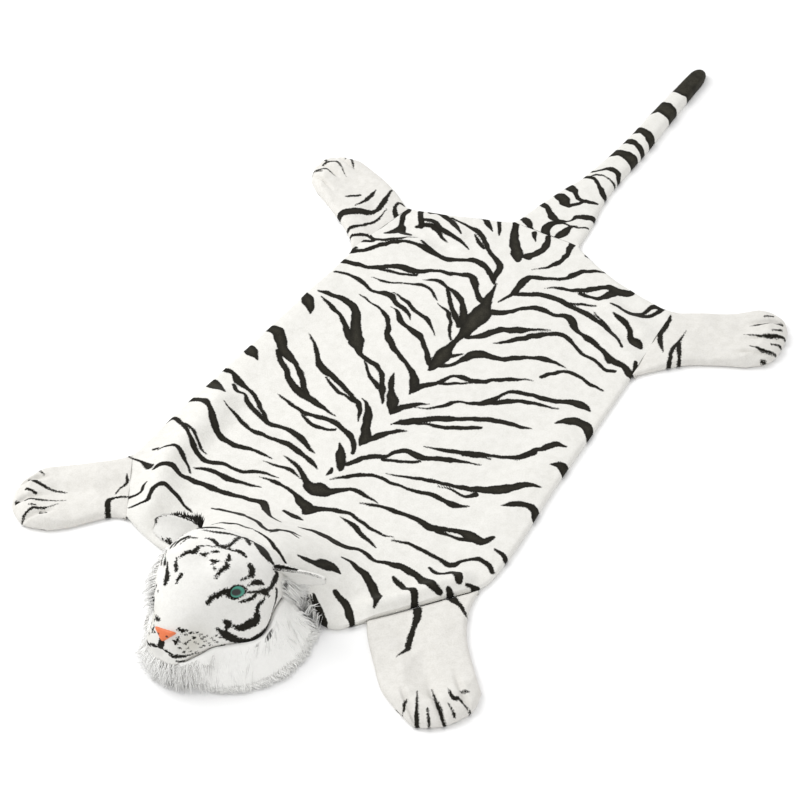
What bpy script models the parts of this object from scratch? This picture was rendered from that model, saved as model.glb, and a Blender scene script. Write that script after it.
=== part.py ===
"""Kids' rug in the shape of a lying white tiger: its sewn pieces as closed solids.

Metres, +Z up. The animal faces -Y with its chin on the floor. "Left" is the animal's own left, +X.
Places in the tables are measured from a mark on the spine between the hips; every object is
then set down so that the whole rug is centred on the world origin.
"""

import math

import bmesh
import bpy
import numpy as np

# ------------------------------------------------------------------ driving sizes

PLUSH = 0.008                        # short pile with its backing, one layer
LIFTED_CLOTH = 0.003                 # a fold lifts the underside by this much less than the top
SEWN_GAP = 0.0003                    # what sewn pieces keep between them
SOCKET_GAP = 0.0005                  # the same, round eyes, nose, ears and ruff
SPINE_MARK = (-0.0080, -0.0051)      # the spine mark, seen from the middle of the rug

# Seams, each from its end near the tail to its end near the head: (x, y), (x, y).
HIP_SEAM_LEFT = ((0.228, 0.190), (0.240, 0.045))
HIP_SEAM_RIGHT = ((-0.205, 0.197), (-0.226, 0.075))
SHOULDER_SEAM_LEFT = ((0.255, -0.398), (0.163, -0.512))
SHOULDER_SEAM_RIGHT = ((-0.246, -0.428), (-0.186, -0.524))
TAIL_SEAM = ((-0.058, 0.250), (0.049, 0.250))
NECK_SEAM = ((-0.060, -0.535), (0.080, -0.535))

# Free edges of the body panel between those seams, as (x, y).
FLANK_LEFT = ((0.245, -0.050), (0.252, -0.200), (0.260, -0.300), (0.261, -0.370))
FLANK_RIGHT = ((-0.230, -0.050), (-0.238, -0.200), (-0.243, -0.300), (-0.246, -0.380))
RUMP_LEFT = ((0.100, 0.224), (0.150, 0.206))
RUMP_RIGHT = ((-0.160, 0.214), (-0.105, 0.234))
CHEST_LEFT = ((0.115, -0.545), (0.140, -0.542))
CHEST_RIGHT = ((-0.150, -0.536), (-0.105, -0.545))

# How many grid steps each stretch of the body panel's rim gets.
RUMP_STEPS, TAIL_SEAM_STEPS = 9, 8
CHEST_STEPS_RIGHT, NECK_SEAM_STEPS, CHEST_STEPS_LEFT = 9, 10, 7
HIP_STEPS, FLANK_STEPS, SHOULDER_STEPS = 6, 26, 8

# How far in from the outline each hem starts to round over.
BODY_HEM = 0.003
LIMB_HEM = 0.004
EAR_HEM = 0.002

# Folds of the body panel: (x, y) to (x, y), how far it spreads, how high it lifts the cloth.
FOLDS = (
    ((-0.206, -0.290), (-0.200, -0.400), 0.026, 0.014),    # roll along the right shoulder
    ((-0.200, -0.410), (-0.165, -0.500), 0.024, 0.018),    # the same roll, at the neck
    ((0.232, -0.400), (0.160, -0.492), 0.014, 0.012),      # hem rolled up over the left foreleg
    ((0.150, 0.150), (0.214, 0.128), 0.016, 0.006),        # puckers at the left hip seam
    ((0.165, 0.095), (0.222, 0.075), 0.016, 0.005),
    ((-0.150, 0.135), (-0.200, 0.105), 0.020, 0.006),      # puckers at the right hip seam
    ((-0.120, 0.180), (-0.175, 0.185), 0.018, 0.005),
    ((-0.215, -0.020), (-0.215, -0.220), 0.022, 0.004),    # slack along the right flank
    ((0.215, -0.120), (0.225, -0.330), 0.030, 0.004),      # slack along the left flank
)

# The neck: where the stuffed head draws the panel up.
NECK_TOP = 0.084
NECK_FOOT_Y = -0.400
NECK_HALF_WIDTH = 0.088
NECK_SQUARENESS = 3.4                # 2 is a plain bell across X, more has a flatter top

# Padded legs. edge_out: the edge nearer the tail; edge_in: the edge nearer the head;
# toes: round the paw, from the end of edge_out to the end of edge_in; all as (x, y).
# "way" runs from 0 at the seam to 1 at the paw's end, "across" from 0 to 1 over the leg.
LEGS = {
    "hindleg_left": dict(
        seam=HIP_SEAM_LEFT,
        edge_out=((0.262, 0.207), (0.300, 0.228), (0.330, 0.252)),
        toes=((0.346, 0.260), (0.377, 0.245), (0.390, 0.205), (0.387, 0.165), (0.364, 0.142)),
        edge_in=((0.262, 0.072), (0.292, 0.103), (0.330, 0.126)),
        seam_height=0.011, leg_height=0.017, paw_height=0.023),
    "hindleg_right": dict(
        seam=HIP_SEAM_RIGHT,
        edge_out=((-0.236, 0.219), (-0.270, 0.237), (-0.304, 0.249)),
        toes=((-0.334, 0.254), (-0.365, 0.242), (-0.375, 0.213), (-0.364, 0.182), (-0.346, 0.166)),
        edge_in=((-0.246, 0.100), (-0.275, 0.122), (-0.312, 0.146)),
        seam_height=0.011, leg_height=0.018, paw_height=0.024),
    "foreleg_left": dict(
        seam=SHOULDER_SEAM_LEFT,
        edge_out=((0.262, -0.435), (0.280, -0.472), (0.310, -0.508)),
        toes=((0.338, -0.538), (0.343, -0.568), (0.327, -0.601), (0.297, -0.621), (0.263, -0.610)),
        edge_in=((0.180, -0.536), (0.207, -0.566), (0.234, -0.594)),
        seam_height=0.010, leg_height=0.016, paw_height=0.022),
    "foreleg_right": dict(
        seam=SHOULDER_SEAM_RIGHT,
        edge_out=((-0.268, -0.456), (-0.295, -0.480), (-0.318, -0.502)),
        toes=((-0.329, -0.524), (-0.335, -0.555), (-0.320, -0.586), (-0.291, -0.601),
              (-0.260, -0.592)),
        edge_in=((-0.205, -0.532), (-0.222, -0.552), (-0.240, -0.574)),
        seam_height=0.011, leg_height=0.018, paw_height=0.024),
}
LEG_COLUMNS, LEG_ROWS = 14, 15
LEG_RIM = 0.008                      # a leg's thickness where its side turns down to the floor
LEG_THINNEST = 0.007
LEG_FULLNESS = 0.45                  # 0.5 is a half circle across the leg, less is boxier
LEG_SLACK = 0.22                     # share of the height lost along the middle of a leg
LEG_SLACK_WIDTH = 0.2
PAW_TIP = 0.6                        # the paw's height at its very end, as a share
LEG_WAYS = (0.0, 0.30, 0.62, 0.85, 1.0)   # seam, top of leg, end of leg, top of paw, paw's end
TOE_GROOVES = (0.26, 0.50, 0.74)     # how far across a paw its stitched toe lines run
TOE_GROOVE_WIDTH = 0.035
TOE_GROOVE_DEPTH = 0.005
TOE_GROOVE_START = 0.66              # way along the leg where the toe lines begin
TOE_GROOVE_RAMP = 0.14

# The tail, as (x, y) on its two edges and round its tip; its heights as (way along, height).
TAIL_LEFT = ((0.044, 0.300), (0.034, 0.355), (0.030, 0.400), (0.031, 0.500), (0.028, 0.600))
TAIL_RIGHT = ((-0.048, 0.300), (-0.034, 0.355), (-0.020, 0.400), (-0.008, 0.500), (-0.005, 0.600))
TAIL_TIP = ((-0.002, 0.718), (0.002, 0.732), (0.013, 0.739), (0.024, 0.733), (0.028, 0.718))
TAIL_HEIGHTS = ((0.00, 0.010), (0.35, 0.015), (0.60, 0.018), (0.97, 0.018), (1.00, 0.0125))
TAIL_COLUMNS, TAIL_ROWS = 8, 30
TAIL_RIM = 0.007

# The head, in slices along Y: y, half width, underside z, top z.
HEAD_X = 0.010                       # the face sits a little to the animal's left of the spine
HEAD_MIDDLE = (0.0, -0.610, 0.066)   # the face is pushed out or in from here
HEAD_SLICES = (
    (-0.5353, 0.060, 0.012, 0.090),
    (-0.5473, 0.065, 0.012, 0.103),
    (-0.5650, 0.069, 0.012, 0.116),
    (-0.5900, 0.071, 0.012, 0.125),
    (-0.6150, 0.069, 0.012, 0.129),
    (-0.6370, 0.062, 0.012, 0.126),
    (-0.6550, 0.052, 0.012, 0.118),
    (-0.6700, 0.042, 0.014, 0.109),
    (-0.6850, 0.034, 0.018, 0.100),
    (-0.6980, 0.028, 0.023, 0.091),
    (-0.7080, 0.023, 0.029, 0.082),
    (-0.7150, 0.015, 0.038, 0.071),
)
HEAD_TIP = (-0.7180, 0.052)          # y, z
HEAD_ROUNDNESS = 2.3                 # 2 is an ellipse, more is squarer
HEAD_SIDES = 36
HEAD_RINGS = 21

# The face's swellings and hollows, on both sides: x, y, z, spread, height.
FACE_FORMS = (
    (0.030, -0.622, 0.130, 0.016, 0.005),      # brow
    (0.048, -0.630, 0.106, 0.014, -0.004),     # eye hollow
    (0.062, -0.622, 0.044, 0.028, 0.009),      # cheek
    (0.018, -0.704, 0.060, 0.012, 0.005),      # whisker pad
    (0.000, -0.716, 0.058, 0.007, -0.004),     # cleft between the whisker pads
    (0.000, -0.700, 0.028, 0.014, 0.004),      # chin
    (0.000, -0.622, 0.131, 0.013, -0.003),     # dip of the forehead
)

# The long-pile ruff. Its foot on the floor is part of an ellipse round the face, its angles
# from straight sideways towards the nose.
RUFF_BACK_Y = -0.5470                # the chest of the body panel ends just behind it
RUFF_MIDDLE = (0.021, -0.600)
RUFF_HALF_WIDTH = 0.111
RUFF_FRONT = 0.124
RUFF_ANGLES = (math.radians(-24.0), math.radians(86.0))
RUFF_SIDES = (20, 34)                # from just under the cheek line round to the other one
RUFF_FOLD = 0.55                     # how far down from the cheek line the pile meets the floor
RUFF_THIN = 0.004                    # thickness at its sewn upper edge
LOCK_LENGTH = 0.006                  # how far every other lock stands out at the rim

# Ears, eyes and nose: places from the head's middle line.
EAR_ROOT = (0.046, -0.558, 0.081)
EAR_LENGTH = 0.072
EARS = {                             # the left one hangs forward, the right one stands up
    "left": {"side": 1, "width": 0.040,
             "turn": (math.radians(112.0), math.radians(-4.0), math.radians(14.0))},
    "right": {"side": -1, "width": 0.042,
              "turn": (math.radians(56.0), math.radians(6.0), math.radians(-4.0))},
}
EAR_THICKNESS = 0.008
EAR_COLUMNS, EAR_ROWS = 8, 8
EAR_TIP = 0.97                       # 1 would draw the tip to a point
EAR_TIP_ROUNDNESS = 3
EAR_WAIST = 0.3                      # share of the width lost at the root
EAR_CUP = 0.008                      # how far the ear's rim turns up
EAR_THINNING = 0.6                   # share of the thickness lost at the rim
EAR_TAPER = 0.4                      # share of thickness and cup lost at the tip
EYE_PLACE = (0.0480, -0.6262, 0.1050)
EYE_SIZE = (0.0125, 0.0060, 0.0075)  # half sizes: wide, deep, high
EYE_TURN = (math.radians(-39.0), math.radians(-5.0), math.radians(36.0))
EYE_SEGMENTS, EYE_RINGS = 16, 10
NOSE_PLACE = (0.0, -0.7062, 0.0812)
NOSE_HALF_WIDTH = 0.017
NOSE_FLATNESS = 0.56                 # its height as a share of its width
NOSE_CORNERS = 0.20                  # how far its three corners stand out, as a share
NOSE_DEPTH = 0.008
NOSE_RINGS = ((-0.50, 0.75), (-0.30, 1.00), (0.25, 1.00), (0.50, 0.70))   # way deep, scale
NOSE_DOME = 0.56                     # how far forward its middle bulges, as a share of its depth
NOSE_SIDES = 24
NOSE_GAP = 0.0006                    # its socket stands off this far, straight out from its middle
NOSE_TURN = math.radians(42.0)
NOSE_ROLL = math.radians(10.0)       # its left corner is sewn on a little higher

# ------------------------------------------------------------------ scene and materials


def empty_scene():
    for thing in list(bpy.data.objects):
        bpy.data.objects.remove(thing, do_unlink=True)


def collection(name, hidden=False):
    made = bpy.data.collections.new(name)
    bpy.context.scene.collection.children.link(made)
    made.hide_render = hidden
    return made


def material(name, colour, roughness, metallic=0.0):
    made = bpy.data.materials.new(name)
    made.use_nodes = True
    shader = made.node_tree.nodes["Principled BSDF"]
    shader.inputs["Base Color"].default_value = (*colour, 1.0)
    shader.inputs["Roughness"].default_value = roughness
    shader.inputs["Metallic"].default_value = metallic
    made.diffuse_color = (*colour, 1.0)
    return made


def mesh_object(name, vertices, faces, surface, into):
    mesh = bpy.data.meshes.new(name)
    mesh.from_pydata([tuple(map(float, v)) for v in vertices], [], faces)
    form = bmesh.new()
    form.from_mesh(mesh)
    bmesh.ops.recalc_face_normals(form, faces=form.faces)
    form.to_mesh(mesh)
    form.free()
    mesh.polygons.foreach_set("use_smooth", [True] * len(mesh.polygons))
    mesh.materials.append(surface)
    made = bpy.data.objects.new(name, mesh)
    made.location = (*SPINE_MARK, 0.0)
    into.objects.link(made)
    return made


# ------------------------------------------------------------------ outlines


def smooth(points, steps):
    """Points evenly spaced on a Catmull-Rom curve through the given ones."""
    knots = np.array(points, float)
    ends = np.vstack([2 * knots[0] - knots[1], knots, 2 * knots[-1] - knots[-2]])
    t = np.linspace(0.0, 1.0, 24, endpoint=False)[:, None]
    runs = []
    for a, b, c, d in zip(ends, ends[1:], ends[2:], ends[3:]):
        runs.append(0.5 * (2 * b + (c - a) * t + (2 * a - 5 * b + 4 * c - d) * t ** 2
                           + (3 * b - a - 3 * c + d) * t ** 3))
    line = np.vstack(runs + [knots[-1:]])
    way = np.concatenate([[0.0], np.cumsum(np.linalg.norm(np.diff(line, axis=0), axis=1))])
    even = np.linspace(0.0, way[-1], steps + 1)
    return np.column_stack([np.interp(even, way, line[:, k]) for k in range(line.shape[1])])


def edge(*stretches):
    """One edge of a piece, made of (points, steps) stretches that meet end to end."""
    runs = [smooth(points, steps) for points, steps in stretches]
    return np.vstack([runs[0]] + [run[1:] for run in runs[1:]])


def patch(start, end, side_a, side_b):
    """A grid of plan points that fills four edges: a Coons patch, its rows from start to end."""
    along = np.linspace(0.0, 1.0, len(side_a))[:, None, None]
    across = np.linspace(0.0, 1.0, len(start))[None, :, None]
    ruled = ((1 - along) * start[None] + along * end[None]
             + (1 - across) * side_a[:, None] + across * side_b[:, None])
    corners = ((1 - along) * ((1 - across) * start[0] + across * start[-1])
               + along * ((1 - across) * end[0] + across * end[-1]))
    return ruled - corners


def away_from(seam, inside):
    """The seam moved off the piece it is sewn to by the sewn gap."""
    first, last = np.array(seam[0]), np.array(seam[1])
    run = (last - first) / np.linalg.norm(last - first)
    normal = np.array([-run[1], run[0]])
    if normal @ (np.array(inside) - first) > 0:
        normal = -normal
    return first + SEWN_GAP * normal, last + SEWN_GAP * normal


# ------------------------------------------------------------------ closed solids from grids


def perimeter(rows, columns):
    """Grid indices (row, column) once round the rim."""
    top = [(0, c) for c in range(columns - 1)]
    right = [(r, columns - 1) for r in range(rows - 1)]
    bottom = [(rows - 1, c) for c in range(columns - 1, 0, -1)]
    left = [(r, 0) for r in range(rows - 1, 0, -1)]
    return top + right + bottom + left


def pad(name, plan, top, bottom, hem_round, surface, into):
    """Two sheets on one plan grid, closed all round by a hem that bulges to the outline."""
    rows, columns = top.shape
    rim = perimeter(rows, columns)
    outline = np.array([plan[r, c] for r, c in rim])
    run = np.roll(outline, -1, axis=0) - np.roll(outline, 1, axis=0)
    run /= np.linalg.norm(run, axis=1)[:, None]
    inward = np.column_stack([-run[:, 1], run[:, 0]])
    middle = outline.mean(axis=0)
    if np.sum(inward * (middle - outline)) < 0:
        inward = -inward
    inset = plan.copy()
    for (r, c), place, step in zip(rim, outline, inward):
        inset[r, c] = place + hem_round * step
    upper = np.dstack([inset, top]).reshape(-1, 3)
    lower = np.dstack([inset, bottom]).reshape(-1, 3)
    hem = [(x, y, 0.5 * (top[r, c] + bottom[r, c])) for (r, c), (x, y) in zip(rim, outline)]
    vertices = np.vstack([upper, lower, hem])
    under = rows * columns
    faces = []
    for r in range(rows - 1):
        for c in range(columns - 1):
            a = r * columns + c
            quad = (a, a + 1, a + columns + 1, a + columns)
            faces.append(quad)
            faces.append(tuple(under + k for k in reversed(quad)))
    for k, (r, c) in enumerate(rim):
        nxt = (k + 1) % len(rim)
        here = r * columns + c
        there = rim[nxt][0] * columns + rim[nxt][1]
        faces.append((here, 2 * under + k, 2 * under + nxt, there))
        faces.append((2 * under + k, under + here, under + there, 2 * under + nxt))
    return mesh_object(name, vertices, faces, surface, into)


def slices(name, rings, tip, surface, into):
    """A closed solid through rings of points, flat at its first ring, closed at its tip."""
    count = len(rings[0])
    vertices = [point for ring in rings for point in ring] + [tip]
    faces = [tuple(range(count))]
    for k in range(len(rings) - 1):
        for j in range(count):
            a, b = k * count + j, k * count + (j + 1) % count
            faces.append((a, b, b + count, a + count))
    last = (len(rings) - 1) * count
    for j in range(count):
        faces.append((last + j, last + (j + 1) % count, len(vertices) - 1))
    return mesh_object(name, vertices, faces, surface, into)


def skin(name, inner, outer, surface, into):
    """A closed solid between two grids of points, one on each side."""
    rows, columns = inner.shape[:2]
    vertices = np.vstack([inner.reshape(-1, 3), outer.reshape(-1, 3)])
    other = rows * columns
    faces = []
    for r in range(rows - 1):
        for c in range(columns - 1):
            a = r * columns + c
            quad = (a, a + 1, a + columns + 1, a + columns)
            faces.append(quad)
            faces.append(tuple(other + k for k in reversed(quad)))
    rim = [r * columns + c for r, c in perimeter(rows, columns)]
    for here, there in zip(rim, rim[1:] + rim[:1]):
        faces.append((here, other + here, other + there, there))
    return mesh_object(name, vertices, faces, surface, into)


def cut(target, cutter):
    """Takes the cutter's shape out of the target."""
    step = target.modifiers.new("cut", "BOOLEAN")
    step.operation = "DIFFERENCE"
    step.solver = "EXACT"
    step.object = cutter
    cutter.display_type = "WIRE"
    cutter.hide_render = True


# ------------------------------------------------------------------ body panel


def lift(x, y):
    """How far the folds raise the cloth at (x, y): a bell-shaped ridge along each fold."""
    total = np.zeros_like(x)
    for (ax, ay), (bx, by), spread, height in FOLDS:
        length = (bx - ax) ** 2 + (by - ay) ** 2
        t = np.clip(((x - ax) * (bx - ax) + (y - ay) * (by - ay)) / length, 0.0, 1.0)
        away = (x - ax - t * (bx - ax)) ** 2 + (y - ay - t * (by - ay)) ** 2
        total = np.maximum(total, height * np.exp(-away / spread ** 2))
    return total


def neck(x, y):
    """The stuffed rise to the head: an S-curve along Y, a bell across X."""
    way = np.clip((NECK_FOOT_Y - y) / (NECK_FOOT_Y - NECK_SEAM[0][1]), 0.0, 1.0)
    rise = way * way * (3.0 - 2.0 * way)
    return (NECK_TOP - PLUSH) * rise * np.exp(
        -(np.abs(x - HEAD_X) / NECK_HALF_WIDTH) ** NECK_SQUARENESS)


def body_panel(surface, into):
    rear = edge(((HIP_SEAM_RIGHT[0], *RUMP_RIGHT, TAIL_SEAM[0]), RUMP_STEPS),
                (TAIL_SEAM, TAIL_SEAM_STEPS),
                ((TAIL_SEAM[1], *RUMP_LEFT, HIP_SEAM_LEFT[0]), RUMP_STEPS))
    front = edge(((SHOULDER_SEAM_RIGHT[1], *CHEST_RIGHT, NECK_SEAM[0]), CHEST_STEPS_RIGHT),
                 (NECK_SEAM, NECK_SEAM_STEPS),
                 ((NECK_SEAM[1], *CHEST_LEFT, SHOULDER_SEAM_LEFT[1]), CHEST_STEPS_LEFT))
    right = edge((HIP_SEAM_RIGHT, HIP_STEPS),
                 ((HIP_SEAM_RIGHT[1], *FLANK_RIGHT, SHOULDER_SEAM_RIGHT[0]), FLANK_STEPS),
                 (SHOULDER_SEAM_RIGHT, SHOULDER_STEPS))
    left = edge((HIP_SEAM_LEFT, HIP_STEPS),
                ((HIP_SEAM_LEFT[1], *FLANK_LEFT, SHOULDER_SEAM_LEFT[0]), FLANK_STEPS),
                (SHOULDER_SEAM_LEFT, SHOULDER_STEPS))
    plan = patch(rear, front, right, left)
    x, y = plan[..., 0], plan[..., 1]
    raised = lift(x, y)
    top = PLUSH + raised + neck(x, y)
    bottom = np.maximum(raised - LIFTED_CLOTH, 0.0)
    return pad("body_panel", plan, top, bottom, BODY_HEM, surface, into)


# ------------------------------------------------------------------ legs and tail


def leg(name, form, inside, surface, into):
    """A padded leg: full along both edges and over the paw, stitched down in the toe lines."""
    first, last = away_from(form["seam"], inside)
    seam = edge(((first, last), LEG_COLUMNS))
    toes = edge((form["toes"], LEG_COLUMNS))
    plan = patch(seam, toes, edge(((first, *form["edge_out"], form["toes"][0]), LEG_ROWS)),
                 edge(((last, *form["edge_in"], form["toes"][-1]), LEG_ROWS)))
    along = np.linspace(0.0, 1.0, LEG_ROWS + 1)[:, None]
    across = np.linspace(0.0, 1.0, LEG_COLUMNS + 1)[None, :]
    height = np.interp(along, LEG_WAYS,
                       (form["seam_height"], form["leg_height"], form["leg_height"],
                        form["paw_height"], PAW_TIP * form["paw_height"]))
    rounded = np.clip(4.0 * across * (1.0 - across), 0.0, 1.0) ** LEG_FULLNESS
    slack = np.exp(-((across - 0.5) / LEG_SLACK_WIDTH) ** 2) * np.sin(np.pi * along)
    grooves = sum(np.exp(-((across - place) / TOE_GROOVE_WIDTH) ** 2) for place in TOE_GROOVES)
    toe_way = np.clip((along - TOE_GROOVE_START) / TOE_GROOVE_RAMP, 0.0, 1.0)
    top = (LEG_RIM + (height - LEG_RIM) * rounded * (1.0 - LEG_SLACK * slack)
           - TOE_GROOVE_DEPTH * grooves * toe_way)
    return pad(name, plan, np.maximum(top, LEG_THINNEST), np.zeros_like(top), LIMB_HEM,
               surface, into)


def tail(surface, into):
    """A padded tail, widest and flattest where it is sewn on."""
    first, last = away_from(TAIL_SEAM, (0.0, 0.0))
    plan = patch(edge(((first, last), TAIL_COLUMNS)), edge((TAIL_TIP, TAIL_COLUMNS)),
                 edge(((first, *TAIL_RIGHT, TAIL_TIP[0]), TAIL_ROWS)),
                 edge(((last, *TAIL_LEFT, TAIL_TIP[-1]), TAIL_ROWS)))
    along = np.linspace(0.0, 1.0, TAIL_ROWS + 1)[:, None]
    across = np.linspace(0.0, 1.0, TAIL_COLUMNS + 1)[None, :]
    height = np.interp(along, *zip(*TAIL_HEIGHTS))
    top = TAIL_RIM + (height - TAIL_RIM) * np.sqrt(4.0 * across * (1.0 - across))
    return pad("tail", plan, top, np.zeros_like(top), LIMB_HEM, surface, into)


# ------------------------------------------------------------------ head


def face_forms(points):
    """Pushes points of the head out or in, away from its middle, by a bell for each form."""
    middle = np.array(HEAD_MIDDLE)
    away = points - middle
    away /= np.linalg.norm(away, axis=-1, keepdims=True)
    push = np.zeros(points.shape[:-1])
    for x, y, z, spread, height in FACE_FORMS:
        sides = (-1, 1) if x else (1,)
        for side in sides:
            reach = np.sum((points - np.array((side * x, y, z))) ** 2, axis=-1)
            push += height * np.exp(-reach / spread ** 2)
    return points + push[..., None] * away


def head_rings(swell=0.0):
    """The head's slices as rings of a superellipse, larger all round by swell."""
    angle = np.linspace(0.0, 2.0 * np.pi, HEAD_SIDES, endpoint=False)
    bend = 2.0 / HEAD_ROUNDNESS
    side = np.sign(np.cos(angle)) * np.abs(np.cos(angle)) ** bend
    rise = np.sign(np.sin(angle)) * np.abs(np.sin(angle)) ** bend
    rings = []
    for y, half_width, low, high in smooth(HEAD_SLICES, HEAD_RINGS - 1):
        middle, half_height = 0.5 * (low + high), 0.5 * (high - low)
        rings.append(np.column_stack([(half_width + swell) * side, np.full(HEAD_SIDES, y),
                                      middle + (half_height + swell) * rise]))
    rings = face_forms(np.array(rings))
    rings[..., 0] += HEAD_X
    return rings


def head(name, surface, into, swell=0.0):
    tip = (HEAD_X, HEAD_TIP[0] - swell, HEAD_TIP[1])
    return slices(name, head_rings(swell), tip, surface, into)


def ruff(surface, into):
    """The long pile: sewn on under the cheeks, spread on the floor, in locks at its rim."""
    first, last = RUFF_SIDES
    inner = np.array([ring[first:last + 1] for ring in head_rings(SOCKET_GAP)[:-1]
                      if ring[0, 1] < RUFF_BACK_Y])
    outer = inner.copy()
    half = 0.5 * (inner.shape[1] - 1)
    for k, angle in enumerate(np.linspace(*RUFF_ANGLES, len(inner))):
        lock = LOCK_LENGTH * (k % 2)
        foot_y = RUFF_MIDDLE[1] - (RUFF_FRONT + lock) * math.sin(angle)
        for j, (x, y, z) in enumerate(inner[k]):
            side = -1.0 if j < half else 1.0
            foot_x = (side * (RUFF_MIDDLE[0] - HEAD_X)
                      + (RUFF_HALF_WIDTH + lock) * math.cos(angle))
            way = 1.0 - abs(j - half) / half
            if way < RUFF_FOLD:
                spread = math.sin(0.5 * math.pi * way / RUFF_FOLD)
                near = abs(x - HEAD_X) + RUFF_THIN
                reach = near + (foot_x - near) * spread
                height = (z + RUFF_THIN) * (1.0 - way / RUFF_FOLD)
            else:
                spread = (1.0 - way) / (1.0 - RUFF_FOLD)
                reach = foot_x * spread
                height = 0.0
            outer[k, j] = (HEAD_X + side * reach, y + (foot_y - y) * spread, height)
    return skin("ruff", inner, outer, surface, into)


def ear(name, side, width, turn, surface, into, cutters):
    """A cupped flap that stands out sideways, its root shaped to the head."""
    across, along = np.meshgrid(np.linspace(-1.0, 1.0, EAR_COLUMNS + 1),
                                np.linspace(0.0, 1.0, EAR_ROWS + 1))
    half = (0.5 * width * np.sqrt(1.0 - (EAR_TIP * along) ** EAR_TIP_ROUNDNESS)
            * (1.0 - EAR_WAIST * (1.0 - along) ** 3))
    plan = np.dstack([side * EAR_LENGTH * along, half * across])
    cup = EAR_CUP * across ** 2 * (1.0 - EAR_TAPER * along)
    thick = EAR_THICKNESS * (1.0 - EAR_THINNING * across ** 2) * (1.0 - EAR_TAPER * along ** 3)
    made = pad(name, plan, cup + 0.5 * thick, cup - 0.5 * thick, EAR_HEM, surface, into)
    x, y, z = EAR_ROOT
    made.location = (SPINE_MARK[0] + HEAD_X + side * x, SPINE_MARK[1] + y, z)
    turn_x, turn_y, turn_z = turn
    made.rotation_euler = (turn_x, side * turn_y, side * turn_z)
    cut(made, head("cut_" + name, surface, cutters, SOCKET_GAP))
    return made


def eyeball(name, side, grow, surface, into):
    form = bmesh.new()
    bmesh.ops.create_uvsphere(form, u_segments=EYE_SEGMENTS, v_segments=EYE_RINGS, radius=1.0)
    half = [size + grow for size in EYE_SIZE]
    bmesh.ops.scale(form, vec=half, verts=form.verts)
    mesh = bpy.data.meshes.new(name)
    form.to_mesh(mesh)
    form.free()
    mesh.polygons.foreach_set("use_smooth", [True] * len(mesh.polygons))
    mesh.materials.append(surface)
    made = bpy.data.objects.new(name, mesh)
    x, y, z = EYE_PLACE
    made.location = (SPINE_MARK[0] + HEAD_X + side * x, SPINE_MARK[1] + y, z)
    turn_x, turn_y, turn_z = EYE_TURN
    made.rotation_euler = (turn_x, side * turn_y, side * turn_z)
    into.objects.link(made)
    return made


def nose(name, grow, surface, into):
    """A rounded triangle, wide at the top, sunk into the muzzle."""
    angle = np.linspace(0.0, 2.0 * np.pi, NOSE_SIDES, endpoint=False)
    corner = NOSE_CORNERS * np.cos(3.0 * angle - 0.5 * np.pi)
    reach = NOSE_HALF_WIDTH * (1.0 - NOSE_CORNERS + corner) + grow
    deep = NOSE_DEPTH + 2.0 * grow
    rings = [np.column_stack([scale * reach * np.cos(angle), np.full(NOSE_SIDES, way * deep),
                              scale * NOSE_FLATNESS * reach * np.sin(angle)])
             for way, scale in NOSE_RINGS]
    made = slices(name, rings, (0.0, NOSE_DOME * deep, 0.0), surface, into)
    x, y, z = NOSE_PLACE
    made.location = (SPINE_MARK[0] + HEAD_X + x, SPINE_MARK[1] + y, z)
    made.rotation_euler = (NOSE_TURN, NOSE_ROLL, math.pi)
    return made


# ------------------------------------------------------------------ the rug


def build():
    empty_scene()
    parts = collection("tiger_rug")
    cutters = collection("cutters", hidden=True)
    striped = material("striped_plush", (0.86, 0.86, 0.83), 0.95)
    white = material("white_plush", (0.91, 0.91, 0.88), 0.95)
    long_pile = material("long_pile", (0.92, 0.92, 0.90), 0.9)
    face = material("face_plush", (0.92, 0.92, 0.90), 0.9)
    iris = material("eye", (0.05, 0.35, 0.28), 0.1)
    leather = material("nose", (0.90, 0.30, 0.13), 0.55)

    body_panel(striped, parts)
    for name, form in LEGS.items():
        leg(name, form, (0.0, 0.5 * (form["seam"][0][1] + form["seam"][1][1])), white, parts)
    tail(striped, parts)
    skull = head("head", face, parts)
    ruff(long_pile, parts)
    for name, form in EARS.items():
        side = form["side"]
        ear("ear_" + name, side, form["width"], form["turn"], face, parts, cutters)
        eyeball("eye_" + name, side, 0.0, iris, parts)
        cut(skull, eyeball("cut_eye_" + name, side, SOCKET_GAP, iris, cutters))
    nose("nose", 0.0, leather, parts)
    cut(skull, nose("cut_nose", NOSE_GAP, leather, cutters))


build()
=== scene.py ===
"""Looks of a plush kids' rug in the shape of a lying white tiger.

Metres, +Z up, the head towards -Y. "Left" is the animal's own left, +X. Tables give places in
millimetres from a mark on the spine between the hips, and widths in millimetres.
"""
import math

import bmesh
import bpy
import numpy as np
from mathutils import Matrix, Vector
from mathutils.bvhtree import BVHTree


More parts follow.
